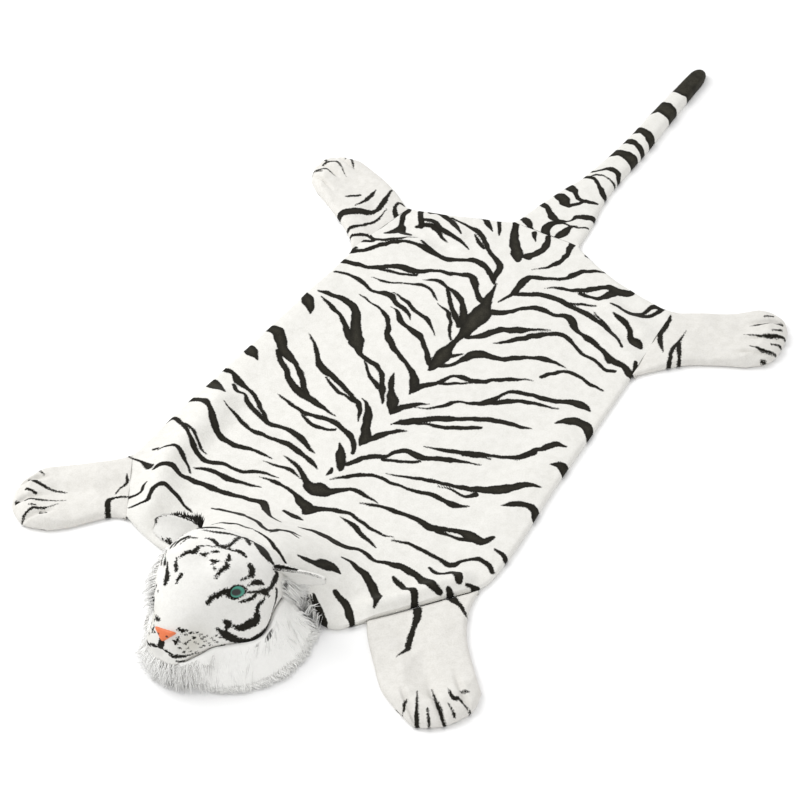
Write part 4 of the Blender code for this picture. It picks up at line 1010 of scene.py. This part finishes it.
def ball_gap(points, side):
    """About how far points are from an eyeball: (length in the ball's own units - 1) * mean size.
    Depth counts less, so that the lid shows all round."""
    own = turned_back(points - eye_middle(side), EYE_TURN, side) / EYE_SIZE
    return (np.linalg.norm(own * (1.0, 0.6, 1.0), axis=1) - 1.0) * EYE_MEAN


shell = head_shell(HEAD_RINGS, HEAD_SIDES)
shift = np.array((HEAD_X, 0.0, 0.0)) + (*SPINE_MARK, 0.0)
head = closed_loft("head_plush", shell + shift, np.array([HEAD_NECK_POINT]) + shift,
                   np.array([HEAD_NOSE_POINT]) + shift)
spots = places(head) - shift
tree = BVHTree.FromPolygons(spots.tolist(), [tuple(p.vertices) for p in head.data.polygons])
face_lines = on_surface(tree, stroke_lines(both_sides(FACE_MARKS), 0.25, 61))
face_lines += on_surface(tree, stroke_lines(MIDDLE_MARKS, 0.25, 62))
face_lines += on_surface(tree, stroke_lines(both_sides(MUZZLE_LINES), 0.2, 63))
whiskers = [((x, y, z, 2.0), (x + 0.6, y + 1.8, z - 1.2, 2.2)) for x, y, z in WHISKER_SPOTS]
face_lines += on_surface(tree, stroke_lines(both_sides(whiskers), 0.3, 64))
lids = np.max([LID - ball_gap(spots, side) for side in (1, -1)], axis=0)
keep_values(head, "ink", np.maximum(ink_depth(spots, face_lines, 0.006), lids))
# Painted shade greys the whisker pads, fading out from their middles.
pad_shade_share = sum(np.exp(-np.sum((spots - (side * WHISKER_PAD[0], *WHISKER_PAD[1:])) ** 2, axis=1)
                    / PAD_SPREAD ** 2) for side in (-1, 1))
keep_values(head, "pad_shade", np.minimum(pad_shade_share, 1.0))
# The face's plush; its last colour is the painted shade of the whisker pads.
FACE_PLUSH = printed_plush("face_plush", (0.78, 0.772, 0.742), (0.71, 0.702, 0.672),
                           worn_ink=(0.022, 0.020, 0.016), painted_shade=(0.60, 0.585, 0.53),
                           fine=520.0, clump=160.0, fuzz=0.0085, bump=0.3, depth=0.0008)
head.data.materials.append(FACE_PLUSH)
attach(head, "root")
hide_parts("head")

# ------------------------------------------------------------------ eyes
# Moulded glossy eyes set into the face: a black pupil, a teal iris with a dark rim, and clear
# lacquer over it. The black lid line is printed on the plush round them.

EYE_RINGS = (          # how far from the pupil's middle, and the colour there
    (0.0, (0.006, 0.007, 0.007)), (0.38, (0.006, 0.007, 0.007)), (0.45, (0.015, 0.11, 0.075)),
    (0.58, (0.035, 0.27, 0.19)), (0.72, (0.025, 0.19, 0.14)), (0.84, (0.01, 0.04, 0.03)),
    (1.0, (0.006, 0.006, 0.006)),
)
LOOK = (0.20, -0.97, 0.0)       # where the pupil is on a ball of radius 1
IRIS_STRETCH = (1.02, 0.86)     # across and up


def iris_finish():
    """Glossy lacquer over rings of colour round the pupil."""
    made, tree, shader = new_material("eye", {
        "Roughness": 0.25, "Coat Weight": 0.3, "Coat Roughness": 0.03})
    rings = add_node(tree, "ShaderNodeValToRGB", {"Fac": vertex_value(tree, "from_pupil")})
    stops = rings.color_ramp.elements
    while len(stops) < len(EYE_RINGS):
        stops.new(0.5)
    for stop, (place, colour) in zip(stops, EYE_RINGS):
        stop.position = place
        stop.color = (*colour, 1.0)
    tree.links.new(rings.outputs["Color"], shader.inputs["Base Color"])
    return made


EYE_FINISH = iris_finish()
turns, rises = np.meshgrid(np.linspace(0.0, 2.0 * np.pi, 64, endpoint=False),
                           np.linspace(0.0, np.pi, 34)[1:-1])
ball = np.stack([np.sin(rises) * np.cos(turns), np.sin(rises) * np.sin(turns), np.cos(rises)], -1)
ball_points = np.vstack([ball.reshape(-1, 3), (0, 0, 1), (0, 0, -1)])
for name, side in (("eye_left", 1), ("eye_right", -1)):
    place = eye_middle(side) + shift
    grid = turned(ball * EYE_SIZE, EYE_TURN, side) + place
    poles = turned(np.array([(0, 0, EYE_SIZE[2]), (0, 0, -EYE_SIZE[2])]), EYE_TURN, side) + place
    eye = closed_loft(name + "_ball", grid, poles[:1], poles[1:])
    from_look = ball_points - (side * LOOK[0], *LOOK[1:])
    aside = np.linalg.norm(from_look[:, [0, 2]] * IRIS_STRETCH, axis=1)
    keep_values(eye, "from_pupil", aside + np.where(ball_points[:, 1] > 0, 2.0, 0.0))
    eye.data.materials.append(EYE_FINISH)
    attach(eye, "root")
    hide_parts(name)

# ------------------------------------------------------------------ nose
# A soft moulded nose in the shape of a rounded triangle, satin orange, with painted shade
# at each nostril, set into the top of the muzzle.

NOSE_PLACE = np.array((0.0, -0.7062, 0.0812))
NOSE_HALF_WIDTH = 0.017
NOSE_HEIGHT = 0.56     # of the width
NOSE_DEPTH = 0.008
NOSE_TURN = (math.radians(42.0), math.radians(10.0), math.pi)
NOSE_SIDES = 96
NOSE_PROFILE = (       # depth, width: from the back, set in the muzzle, to the front
    (-0.50, 0.75), (-0.42, 0.92), (-0.30, 1.00), (0.15, 1.02), (0.32, 0.98), (0.44, 0.86),
    (0.50, 0.70), (0.54, 0.45), (0.56, 0.20),
)
NOSTRIL, NOSTRIL_RADIUS = (0.0062, -0.0020), 0.0016


def rounded_triangle(angle):
    """How far a rounded triangle's edge is from its middle. The nearest side is 0.54 /
    cos(angle from it) away, and a circle of 1 / 1.04 cuts the corners off: both are taken to
    the power -9 and added, and the sum to the power -1/9."""
    from_side = (angle - np.pi / 2 + np.pi / 3) % (2.0 * np.pi / 3) - np.pi / 3
    return ((np.cos(from_side) / 0.54) ** 9 + 1.04 ** 9) ** (-1.0 / 9)


def satin_rubber():
    """Orange moulded rubber, finely pored, with painted shade at each nostril."""
    made, tree, shader = new_material("nose", {"Roughness": 0.5, "Specular IOR Level": 0.4})
    pores = noise(tree, tree.nodes.new("ShaderNodeTexCoord").outputs["Object"], 900.0)
    orange = mixed(tree, pores, (0.62, 0.13, 0.045), (0.80, 0.22, 0.08))
    nostril_shade = stretched(tree, vertex_value(tree, "ink"), -0.0006, 0.0006)
    colour = mixed(tree, nostril_shade, orange, (0.06, 0.02, 0.015))
    tree.links.new(colour, shader.inputs["Base Color"])
    tree.links.new(bump_normal(tree, pores, 0.3, 0.0004), shader.inputs["Normal"])
    return made


angle = np.linspace(0.0, 2.0 * np.pi, NOSE_SIDES, endpoint=False)
reach = NOSE_HALF_WIDTH * rounded_triangle(angle)
profile = evenly(catmull_rom(NOSE_PROFILE), 40)
grid = np.stack([profile[:, 1:] * reach * np.cos(angle),
                 np.repeat(profile[:, :1] * NOSE_DEPTH, NOSE_SIDES, 1),
                 NOSE_HEIGHT * profile[:, 1:] * reach * np.sin(angle)], -1)
ends = np.array([(0.0, -0.5 * NOSE_DEPTH, 0.0), (0.0, 0.565 * NOSE_DEPTH, 0.0)])
place = NOSE_PLACE + shift
nose = closed_loft("nose_pad", turned(grid, NOSE_TURN, 1) + place,
                   turned(ends[:1], NOSE_TURN, 1) + place, turned(ends[1:], NOSE_TURN, 1) + place)
flat_nose = np.vstack([grid.reshape(-1, 3), ends])
aside, above = np.abs(flat_nose[:, 0]) - NOSTRIL[0], flat_nose[:, 2] - NOSTRIL[1]
# The nostril holes are not cut: painted shade, stored as the nose's ink, darkens the rubber at each.
keep_values(nose, "ink", NOSTRIL_RADIUS - np.hypot(aside, 1.3 * above))
nose.data.materials.append(satin_rubber())
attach(nose, "root")
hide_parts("nose")

# ------------------------------------------------------------------ ears
# Two cupped ears of the face's plush, sewn to the back corners of the head and lying out
# sideways: the left one is seen from its edge, the right one is open to the front. A tuft of
# black pile stands along the back edge of each, and a fringe of short white pile all round.

EAR_ROOT = np.array((0.046, -0.558, 0.081))
EAR_LENGTH, EAR_THICKNESS, EAR_CUP = 0.072, 0.008, 0.008
EAR_STEPS = 60
EAR_START = 0.12       # its base, as a share of its length out from the root
EARS = {   # marks and tufts: way out from the root, way across from the middle line, width
    "ear_left": dict(
        side=1, width=0.040, turn=(math.radians(112.0), math.radians(-4.0), math.radians(14.0)),
        front=(), back=(((4, 15, 11), (24, 18, 10), (38, 18, 6), (66, 12, 4)),), tuft=(4, 40, 5)),
    "ear_right": dict(
        side=-1, width=0.042, turn=(math.radians(56.0), math.radians(6.0), math.radians(-4.0)),
        front=(((6, 18, 5), (20, 20, 5), (38, 20, 3)), ((54, 17, 2), (62, 14, 4), (68, 9, 4), (71, 2, 3)),
               ((56, -13, 2), (54, -15, 4)), ((52, -15, 3), (48, -16, 6)), ((49, -12, 2), (45, -15, 5)),
               ((44, -18, 3), (40, -18, 5))),
        back=(((4, 10, 16), (24, 14, 18), (48, 17, 8)),), tuft=(-4, 50, 17)),
}
TUFT_HAIRS, FRINGE_HAIRS, HAIR_RINGS = 900, 500, 4
TUFT_COLUMNS = 12      # grid columns next to the back edge that the tuft stands on
TUFT_HAIR_WIDTH, FRINGE_HAIR_WIDTH, FRINGE_HAIR_LENGTH = 0.0009, 0.0004, 0.0024
FRINGE_FIRST, FRINGE_LAST = 0.008, 0.070    # how far out from the root the fringe is
LOCK_TIP = 0.00012     # how wide a lock's very tip is


def unit(vectors):
    """The vectors, each made one long."""
    return vectors / np.maximum(np.linalg.norm(vectors, axis=1, keepdims=True), 1e-9)


def tapered_locks(roots, line, normal, width, steps):
    """Tapered three-sided locks, all at once, along lines of (locks, steps, 3) from their roots.

    The width goes as (1 - t)^0.8 and each ring stands across the lock's own run."""
    run = line[:, -1] - line[:, 0]
    across = unit(np.cross(run, normal))
    upright = unit(np.cross(across, run))
    t = np.linspace(0.0, 1.0, steps)
    wide = width[:, None] * (1.0 - t) ** 0.8 + LOCK_TIP
    corners = np.array([(1.0, -0.2), (-1.0, -0.2), (0.0, 0.5)])
    ring = line[:, :, None] + wide[..., None, None] * (
        corners[:, 0][None, None, :, None] * across[:, None, None]
        + corners[:, 1][None, None, :, None] * upright[:, None, None])
    n = np.arange(len(roots) * steps * 3).reshape(len(roots), steps, 3)
    sides = cells(np.concatenate([n, n[..., :1]], axis=-1))
    ends = np.vstack([n[:, 0, ::-1], n[:, -1]])
    return ring.reshape(-1, 3), sides.tolist() + ends.tolist()


def stacked(groups):
    """Several (vertices, faces) as one, each group's faces renumbered."""
    starts = np.cumsum([0] + [len(points) for points, _ in groups])
    faces = [[int(start + k) for k in face]
             for start, (_, part) in zip(starts, groups) for face in part]
    return np.vstack([points for points, _ in groups]), faces


def ear_hairs(back, form, chance):
    """A tuft of black hairs along the back edge, shorter towards its end, and a fringe of short
    white ones along both edges: (vertices, faces) and which of the hairs are black."""
    side, (first, last, reach) = form["side"], form["tuft"]
    way = np.concatenate([chance.uniform(0.001 * first, 0.001 * last, TUFT_HAIRS),
                          chance.uniform(FRINGE_FIRST, FRINGE_LAST, FRINGE_HAIRS)])
    count = len(way)
    black = np.arange(count) < TUFT_HAIRS
    row = (way / EAR_LENGTH - EAR_START) / (1.0 - EAR_START) * EAR_STEPS
    row = np.clip(row, 0, EAR_STEPS).astype(int)
    tuft_column = chance.integers(EAR_STEPS - TUFT_COLUMNS, EAR_STEPS + 1, count)
    fringe_column = chance.choice((0, 1, EAR_STEPS - 1, EAR_STEPS), count)
    column = np.where(black, tuft_column, fringe_column)
    edgeward = np.where(column > EAR_STEPS // 2, 1.0, -1.0)
    lean = np.column_stack([side * chance.uniform(0.1, 1.3, count),
                            edgeward * chance.uniform(0.3, 1.1, count),
                            chance.uniform(-0.8, 0.1, count)])
    fade = np.clip((0.001 * last - way) / (0.001 * (last - first)), 0.0, 1.0) ** 0.7
    tuft_length = 0.001 * reach * chance.uniform(0.3, 1.0, count) * (0.15 + 0.85 * fade)
    length = np.where(black, tuft_length, FRINGE_HAIR_LENGTH)
    t = np.linspace(0.0, 1.0, HAIR_RINGS)[None, :, None]
    roots = back[row, column]
    line = roots[:, None] + t * (unit(lean) * length[:, None])[:, None]
    width = np.where(black, TUFT_HAIR_WIDTH, FRINGE_HAIR_WIDTH)
    return tapered_locks(roots, line, np.array((0.0, 0.0, 1.0)), width, HAIR_RINGS), black


across, along = np.meshgrid(np.linspace(-1.0, 1.0, EAR_STEPS + 1),
                            np.linspace(EAR_START, 1.0, EAR_STEPS + 1))
# The ear's width goes along it as sqrt(1 - (0.97 along)^3), drawn in towards the root. It is
# cupped by the square of the way across, and thins out towards its edges and its tip.
shape = np.sqrt(1.0 - (0.97 * along) ** 3) * (1.0 - 0.3 * (1.0 - along) ** 3)
bend = EAR_CUP * across ** 2 * (1.0 - 0.4 * along)
thick = (EAR_THICKNESS * (1.0 - 0.6 * across ** 2) * (1.0 - 0.4 * along ** 3)
         * np.sqrt(1.0 - np.abs(across) ** 8) * np.sqrt(1.0 - along ** 14))
chance = np.random.default_rng(71)
for name, form in EARS.items():
    side = form["side"]
    plan = np.stack([side * EAR_LENGTH * along, 0.5 * form["width"] * shape * across], -1)
    front, back = np.dstack([plan, bend + 0.5 * thick]), np.dstack([plan, bend - 0.5 * thick])
    sides = np.concatenate([front, back[:, -2:0:-1]], axis=1)
    rings, count = sides.shape[:2]
    flap = np.vstack([sides.reshape(-1, 3), sides[0].mean(axis=0), sides[-1].mean(axis=0)])
    hairs, black = ear_hairs(back, form, chance)
    vertices, faces = stacked([(flap, loft_faces(rings, count)), hairs])
    place = EAR_ROOT * (side, 1, 1) + shift
    ear = shown(name + "_plush", turned(vertices, form["turn"], side) + place, faces)
    flat_places = flap[:, :2] * (side, 1)
    column = np.append(np.arange(rings * count) % count, (0, 0))
    ink = np.where(column < EAR_STEPS, ink_depth(flat_places, stroke_lines(form["front"], 0.3, 71)),
                   ink_depth(flat_places, stroke_lines(form["back"], 0.3, 72)))
    hair_ink = np.repeat(np.where(black, 0.006, NO_INK), 3 * HAIR_RINGS)
    keep_values(ear, "ink", np.concatenate([ink, hair_ink]))
    # The ears store no painted shade.
    keep_values(ear, "pad_shade", np.zeros(len(vertices)))
    ear.data.materials.append(FACE_PLUSH)
    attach(ear, "root")
    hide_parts(name)

# ------------------------------------------------------------------ ruff
# A collar of long white pile round the cheeks and under the chin, sewn on between face and
# neck. Its pile falls outwards to the floor in thin locks.

RUFF_BACK_Y, RUFF_CHIN_Y = -0.5470, -0.7135
RUFF_MIDDLE = (0.021, -0.600)
RUFF_HALF_WIDTH, RUFF_FRONT = 0.107, 0.113
RUFF_ANGLES = (math.radians(-24.0), math.radians(86.0))
RUFF_FOLD, RUFF_THIN = 0.55, 0.004
# The skin stays inside the ruff's full size by half of this at the left, one and a half times
# in front and two and a half times at the right, and the locks reach on from there.
RUFF_INSIDE = 0.005
RUFF_LENGTH = 0.24        # about how long its outer edge is, on each side
RUFF_ROWS, RUFF_TUFTS = 90, 24
RUFF_SPOKES, UNDER_FACE = 360, slice(200, 341, 2)  # sides of the head's shell, those it is on
FACE_INSIDE = (0.0, -0.62, 0.05)
LOCKS, LOCK_RINGS = 4400, 5
CHEEK_LOCKS, CHIN_LOCKS = 700, 700                # on each side of the face, and under it
LOCK_INSET = 0.0008       # how deep the roots stand in the skin
LOCK_WIDTHS, CHEEK_WIDTHS, CHIN_WIDTHS = (0.0006, 0.0014), (0.0005, 0.0011), (0.0005, 0.0010)
LOCK_LENGTHS, CHIN_LENGTHS = (0.018, 0.040), (0.008, 0.024)
CHIN_Y, CHIN_HEIGHTS, CHIN_SPREAD, CHIN_REACH = -0.7080, (0.006, 0.046), 0.022, 0.046
BODY_FRONT, BODY_REACH, BODY_TOP = -0.549, 0.150, 0.010    # where locks lie on the body's pile
# The tufts on the cheeks: the side, their rings on the head counted from the neck, degrees up
# from sideways, their shortest and longest locks, and the way they fall.
CHEEKS = (
    (1, 4, 28, -26, 16, 0.022, 0.042, (0.62, 0.45, -0.62)),
    (-1, 4, 96, -22, 24, 0.014, 0.026, (-0.78, -0.05, -0.62)),
)
RUFF_MARKS = (
    ((75, -558, 80, 10), (77, -564, 75, 16), (80, -570, 69, 16), (83, -577, 62, 8)),
    ((84, -609, 42, 4), (85, -619, 41, 8), (85, -627, 40, 4)), ((83, -631, 41, 3), (80, -639, 40, 4)),
)


def ruff_grids():
    """The ruff's inner side, on the head, and its outer side: a quarter wave out from the cheek
    line to an ellipse on the floor, then flat back to the middle."""
    shell = head_shell(HEAD_RINGS, RUFF_SPOKES, 0.0005)
    y = shell[:, 0, 1]
    lowest = np.linspace(RUFF_BACK_Y, RUFF_CHIN_Y, RUFF_ROWS)
    rings = np.array([np.abs(y - k).argmin() for k in lowest])
    inner = shell[rings][:, UNDER_FACE]
    count = inner.shape[1]
    half = 0.5 * (count - 1)
    column = np.arange(count)
    side = np.where(column < half, -1.0, 1.0)[None, :]
    way = (1.0 - np.abs(column - half) / half)[None, :]
    angle = np.linspace(*RUFF_ANGLES, len(inner))[:, None]
    half_width = RUFF_HALF_WIDTH - RUFF_INSIDE * (1.5 - side)
    foot_x = side * (RUFF_MIDDLE[0] - HEAD_X) + half_width * np.cos(angle)
    foot_y = RUFF_MIDDLE[1] - (RUFF_FRONT - RUFF_INSIDE * 1.5) * np.sin(angle)
    x, y, z = inner[..., 0], inner[..., 1], inner[..., 2]
    down = np.clip(way / RUFF_FOLD, 0.0, 1.0)
    near = np.abs(x) + RUFF_THIN
    back = np.clip((1.0 - way) / (1.0 - RUFF_FOLD), 0.0, 1.0)
    spread = np.where(way < RUFF_FOLD, np.sin(0.5 * np.pi * down), back)
    reach = np.where(way < RUFF_FOLD, near + (foot_x - near) * spread, foot_x * spread)
    height = (z + RUFF_THIN) * (1.0 - down)
    return inner, np.stack([side * reach, y + (foot_y - y) * spread, height], -1)


def closed_skin(inner, outer):
    """A closed solid between two grids of points."""
    rows, columns = inner.shape[:2]
    quads = cells(np.arange(rows * columns).reshape(rows, columns))
    rim, other = rim_of(rows, columns), rows * columns
    wall = np.column_stack([rim, other + rim, other + np.roll(rim, -1), np.roll(rim, -1)])
    faces = quads.tolist() + (quads[:, ::-1] + other).tolist() + wall.tolist()
    return np.vstack([inner.reshape(-1, 3), outer.reshape(-1, 3)]), faces


def on_grid(grid, u, v):
    """Places on a grid of points, and the grid's two directions there, by bilinear mixing."""
    rows, columns = grid.shape[:2]
    r, c = u * (rows - 1.001), v * (columns - 1.001)
    i, j = r.astype(int), c.astype(int)
    fr, fc = (r - i)[:, None], (c - j)[:, None]
    a, b, d, e = grid[i, j], grid[i, j + 1], grid[i + 1, j], grid[i + 1, j + 1]
    spot = (1 - fr) * ((1 - fc) * a + fc * b) + fr * ((1 - fc) * d + fc * e)
    return spot, (1 - fr) * (b - a) + fr * (e - d), (1 - fc) * (d - a) + fc * (e - b)


def fallen(roots, run, normal, lengths, chance, gather=0.0):
    """Lock lines: along run, rising a little and then drooping, bent sideways by a slow wave,
    their tips gathered into tufts, and lying on one another where they reach the floor."""
    t = np.linspace(0.0, 1.0, LOCK_RINGS)[None, :, None]
    across = unit(np.cross(run, normal))
    bend = chance.uniform(-0.10, 0.10, (len(roots), 1, 1))
    line = roots[:, None] + lengths[:, None, None] * (
        t * run[:, None] + (0.14 * t - 0.22 * t ** 2) * normal[:, None]
        + bend * np.sin(3.0 * t) * across[:, None]) + t ** 1.5 * gather
    line[..., 2] -= 0.22 * lengths[:, None] * t[..., 0] ** 2
    x, y = line[..., 0], line[..., 1]
    on_body = (y > BODY_FRONT) & (np.abs(x) < BODY_REACH)
    ground = np.where(on_body, BODY_TOP + neck_rise(x + HEAD_X, y), 0.0)
    line[..., 2] = np.maximum(line[..., 2], ground + chance.uniform(0.0020, 0.0060, (len(roots), 1)))
    return line


chance = np.random.default_rng(77)
inner, outer = ruff_grids()
u, v = np.meshgrid(np.linspace(0.0, 1.0, outer.shape[0]), np.linspace(0.0, 1.0, outer.shape[1]),
                   indexing="ij")
shown_way = np.clip((1.0 - np.abs(2.0 * v - 1.0)) / RUFF_FOLD, 0.0, 1.0)
clumps = 0.0026 * ripple(RUFF_LENGTH * u, 0.04 * v, 0.020, 78) * np.sin(np.pi * shown_way)
outer[..., 0] *= 1.0 + clumps / 0.09
outer[..., 2] += np.abs(clumps)
visible = int(0.5 * (outer.shape[1] - 1) * RUFF_FOLD) + 1
groups = [closed_skin(inner, outer)]
tone_and_root_shade = [np.full(len(groups[0][0]), 0.5)]
dry = [np.zeros(len(groups[0][0]))]


def per_vertex(values):
    """Values of (locks, rings, 1) or less as one for each corner of each ring."""
    return (values + np.zeros((1, 1, 3))).ravel()


def add_locks(roots, line, normal, widths, drying=0.0):
    """Puts locks on the ruff, each a little lighter or duller at random, with painted shade that
    darkens it towards its root. Drying is how much of its ink a lock has lost by the tip."""
    width = chance.uniform(*widths, len(roots))
    groups.append(tapered_locks(roots, line, normal, width, LOCK_RINGS))
    # Painted shade: each lock's tone rises from its root to its tip, from a level of its own at random.
    own = chance.uniform(0.45, 0.80, (len(roots), 1, 1))
    tone_and_root_shade.append(per_vertex(own + np.linspace(0.0, 0.35, LOCK_RINGS)[None, :, None]))
    dry.append(per_vertex(np.linspace(0.0, drying, LOCK_RINGS)[None, :, None] + 0.0 * own))


for side, patch in ((-1, outer[:, :visible]), (1, outer[:, ::-1][:, :visible])):
    u, v = chance.uniform(0.0, 1.0, (2, LOCKS // 2))
    v = v ** 0.75
    roots, down, along = on_grid(patch, u, v)
    normal = unit(np.cross(along, down))
    normal *= np.sign(np.sum(normal * (roots - FACE_INSIDE), axis=1, keepdims=True))
    # The locks wave, and lean on round the chin at one end and back over the neck at the other.
    lean = 0.30 * ripple(RUFF_LENGTH * u, 0.02 * v, 0.020, 79) + chance.normal(0.0, 0.07, len(u))
    lean += 0.9 * np.clip((u - 0.85) / 0.15, 0.0, 1.0) - 1.2 * np.clip((0.16 - u) / 0.16, 0.0, 1.0)
    run = unit(down) + lean[:, None] * unit(along) + np.array((0.0, 0.0, 0.16)) * (1.0 - v[:, None])
    lengths = chance.uniform(*LOCK_LENGTHS, len(u)) * (1.0 - 0.50 * v)
    tuft = RUFF_TUFTS * u + 0.37 * np.floor(5.0 * v)
    tuft += 0.25 * ripple(RUFF_LENGTH * u, 0.05 * v, 0.03, 82)
    # Their tips are drawn most of the way to the middle of their tuft.
    gather = (np.round(tuft) - tuft) * 0.80 * RUFF_LENGTH / RUFF_TUFTS
    gather = gather[:, None, None] * unit(along)[:, None]
    line = fallen(roots - LOCK_INSET * normal, unit(run), normal, lengths, chance, gather)
    add_locks(roots, line, normal, LOCK_WIDTHS, 0.008)

# The tufts behind each cheek, up to the ear, and those under the chin.
for side, first_ring, last_ring, low, high, short, long, fall in CHEEKS:
    ring = chance.integers(first_ring, last_ring, CHEEK_LOCKS)
    turn = np.radians(chance.uniform(low, high, CHEEK_LOCKS))
    round_way = (turn if side > 0 else np.pi - turn) / (2.0 * np.pi)
    roots = shell[ring, np.round(round_way * HEAD_SIDES).astype(int) % HEAD_SIDES]
    normal = unit(roots - np.column_stack([0.0 * turn, roots[:, 1], np.full(len(turn), 0.066)]))
    drift = 0.30 * ripple(roots[:, 1], roots[:, 2], 0.016, 80) + chance.normal(0.0, 0.08, len(turn))
    run = unit(np.array(fall) + drift[:, None] * (0.0, 1.0, 0.3))
    lengths = chance.uniform(short, long, len(turn))
    line = fallen(roots - 0.0010 * normal, run, normal, lengths, chance)
    add_locks(roots, line, normal, CHEEK_WIDTHS)
# Under the chin they stand on a band that goes back with the square of the way aside.
x = np.clip(chance.normal(0.0, CHIN_SPREAD, CHIN_LOCKS), -CHIN_REACH, CHIN_REACH)
z = chance.uniform(*CHIN_HEIGHTS, CHIN_LOCKS)
up = np.maximum(z - 0.020, 0.0) / 0.026
roots = np.column_stack([x, CHIN_Y + (9.0 + 11.0 * up) * x ** 2 - 0.0105 * up, z])
normal = unit(np.column_stack([8.0 * x, np.full((CHIN_LOCKS, 2), (-0.7, 0.7))]))
aside = 14.0 * x + chance.normal(0.0, 0.22, CHIN_LOCKS)
run = unit(np.column_stack([aside, np.full((CHIN_LOCKS, 2), (-0.70, -0.60))]))
lengths = chance.uniform(*CHIN_LENGTHS, CHIN_LOCKS) * (1.0 - 0.45 * up)
add_locks(roots, fallen(roots, run, normal, lengths, chance), normal, CHIN_WIDTHS)
vertices, faces = stacked(groups)
ruff = shown("ruff_pile", vertices + shift, faces)
keep_values(ruff, "tone_and_root_shade", np.concatenate(tone_and_root_shade))
ink = ink_depth(vertices, stroke_lines(both_sides(RUFF_MARKS), 0.2, 81))
keep_values(ruff, "ink", ink - np.concatenate(dry))


def long_pile():
    """Long white pile: darkened towards the roots by painted shade and lightest at the tips, black where it
    has ink.
    """
    made, tree, shader = new_material("long_pile", {
        "Roughness": 0.7, "Sheen Weight": 0.7, "Specular IOR Level": 0.2})
    # The tone stored on the locks carries their painted root shade.
    uneven = scaled(tree, grain_in(tree, 300.0, 60.0)["Shade"], 0.25, vertex_value(tree, "tone_and_root_shade"))
    white = mixed(tree, uneven, (0.82, 0.812, 0.78), (0.95, 0.945, 0.92))
    black = stretched(tree, vertex_value(tree, "ink"), -0.0008, 0.0012)
    tree.links.new(mixed(tree, black, white, INK), shader.inputs["Base Color"])
    return made


ruff.data.materials.append(long_pile())
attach(ruff, "root")
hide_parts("ruff")

# ------------------------------------------------------------------ floor, light and camera
# A plain white floor, a soft overall light with a broad lamp to the upper left, and the
# camera at the photograph's height and angle.

FLOOR_SIDE = 14.0
SKY_STRENGTH, LAMP_STRENGTH, LAMP_SIDE = 0.90, 50.0, 2.0
LAMP_PLACE, LAMP_AIM = (-2.0, -0.6, 2.4), (0.0, -0.2, 0.0)
CAMERA_RISE, CAMERA_TURN, CAMERA_FAR = math.radians(43.11), math.radians(31.21), 3.0
CAMERA_AIM = np.array((-0.0150, -0.1581, 0.0))
FOCAL_LENGTH = 100.85

bpy.ops.mesh.primitive_plane_add(size=FLOOR_SIDE, location=(0.0, 0.0, 0.0))
floor = bpy.context.object
floor.name = "floor"
paper = new_material("floor", {"Base Color": (0.98, 0.98, 0.98, 1.0), "Roughness": 0.9})[0]
floor.data.materials.append(paper)

sky = bpy.data.worlds.new("studio")
sky.use_nodes = True
sky.node_tree.nodes["Background"].inputs["Color"].default_value = (1.0, 1.0, 1.0, 1.0)
sky.node_tree.nodes["Background"].inputs["Strength"].default_value = SKY_STRENGTH
bpy.context.scene.world = sky
lamp = bpy.data.lights.new("softbox", "AREA")
lamp.shape = "SQUARE"
lamp.size = LAMP_SIDE
lamp.energy = LAMP_STRENGTH
softbox = bpy.data.objects.new("softbox", lamp)
softbox.location = LAMP_PLACE
softbox.rotation_euler = (Vector(LAMP_PLACE) - Vector(LAMP_AIM)).to_track_quat("Z", "Y").to_euler()
bpy.context.scene.collection.objects.link(softbox)

to_camera = np.array((math.sin(CAMERA_TURN) * math.cos(CAMERA_RISE),
                      -math.cos(CAMERA_TURN) * math.cos(CAMERA_RISE), math.sin(CAMERA_RISE)))
lens = bpy.data.cameras.new("camera")
lens.sensor_width = 36.0
lens.lens = FOCAL_LENGTH
camera = bpy.data.objects.new("camera", lens)
camera.location = CAMERA_AIM + CAMERA_FAR * to_camera
camera.rotation_euler = Vector(to_camera).to_track_quat("Z", "Y").to_euler()
bpy.context.scene.collection.objects.link(camera)
bpy.context.scene.camera = camera
bpy.context.scene.view_settings.view_transform = "Standard"
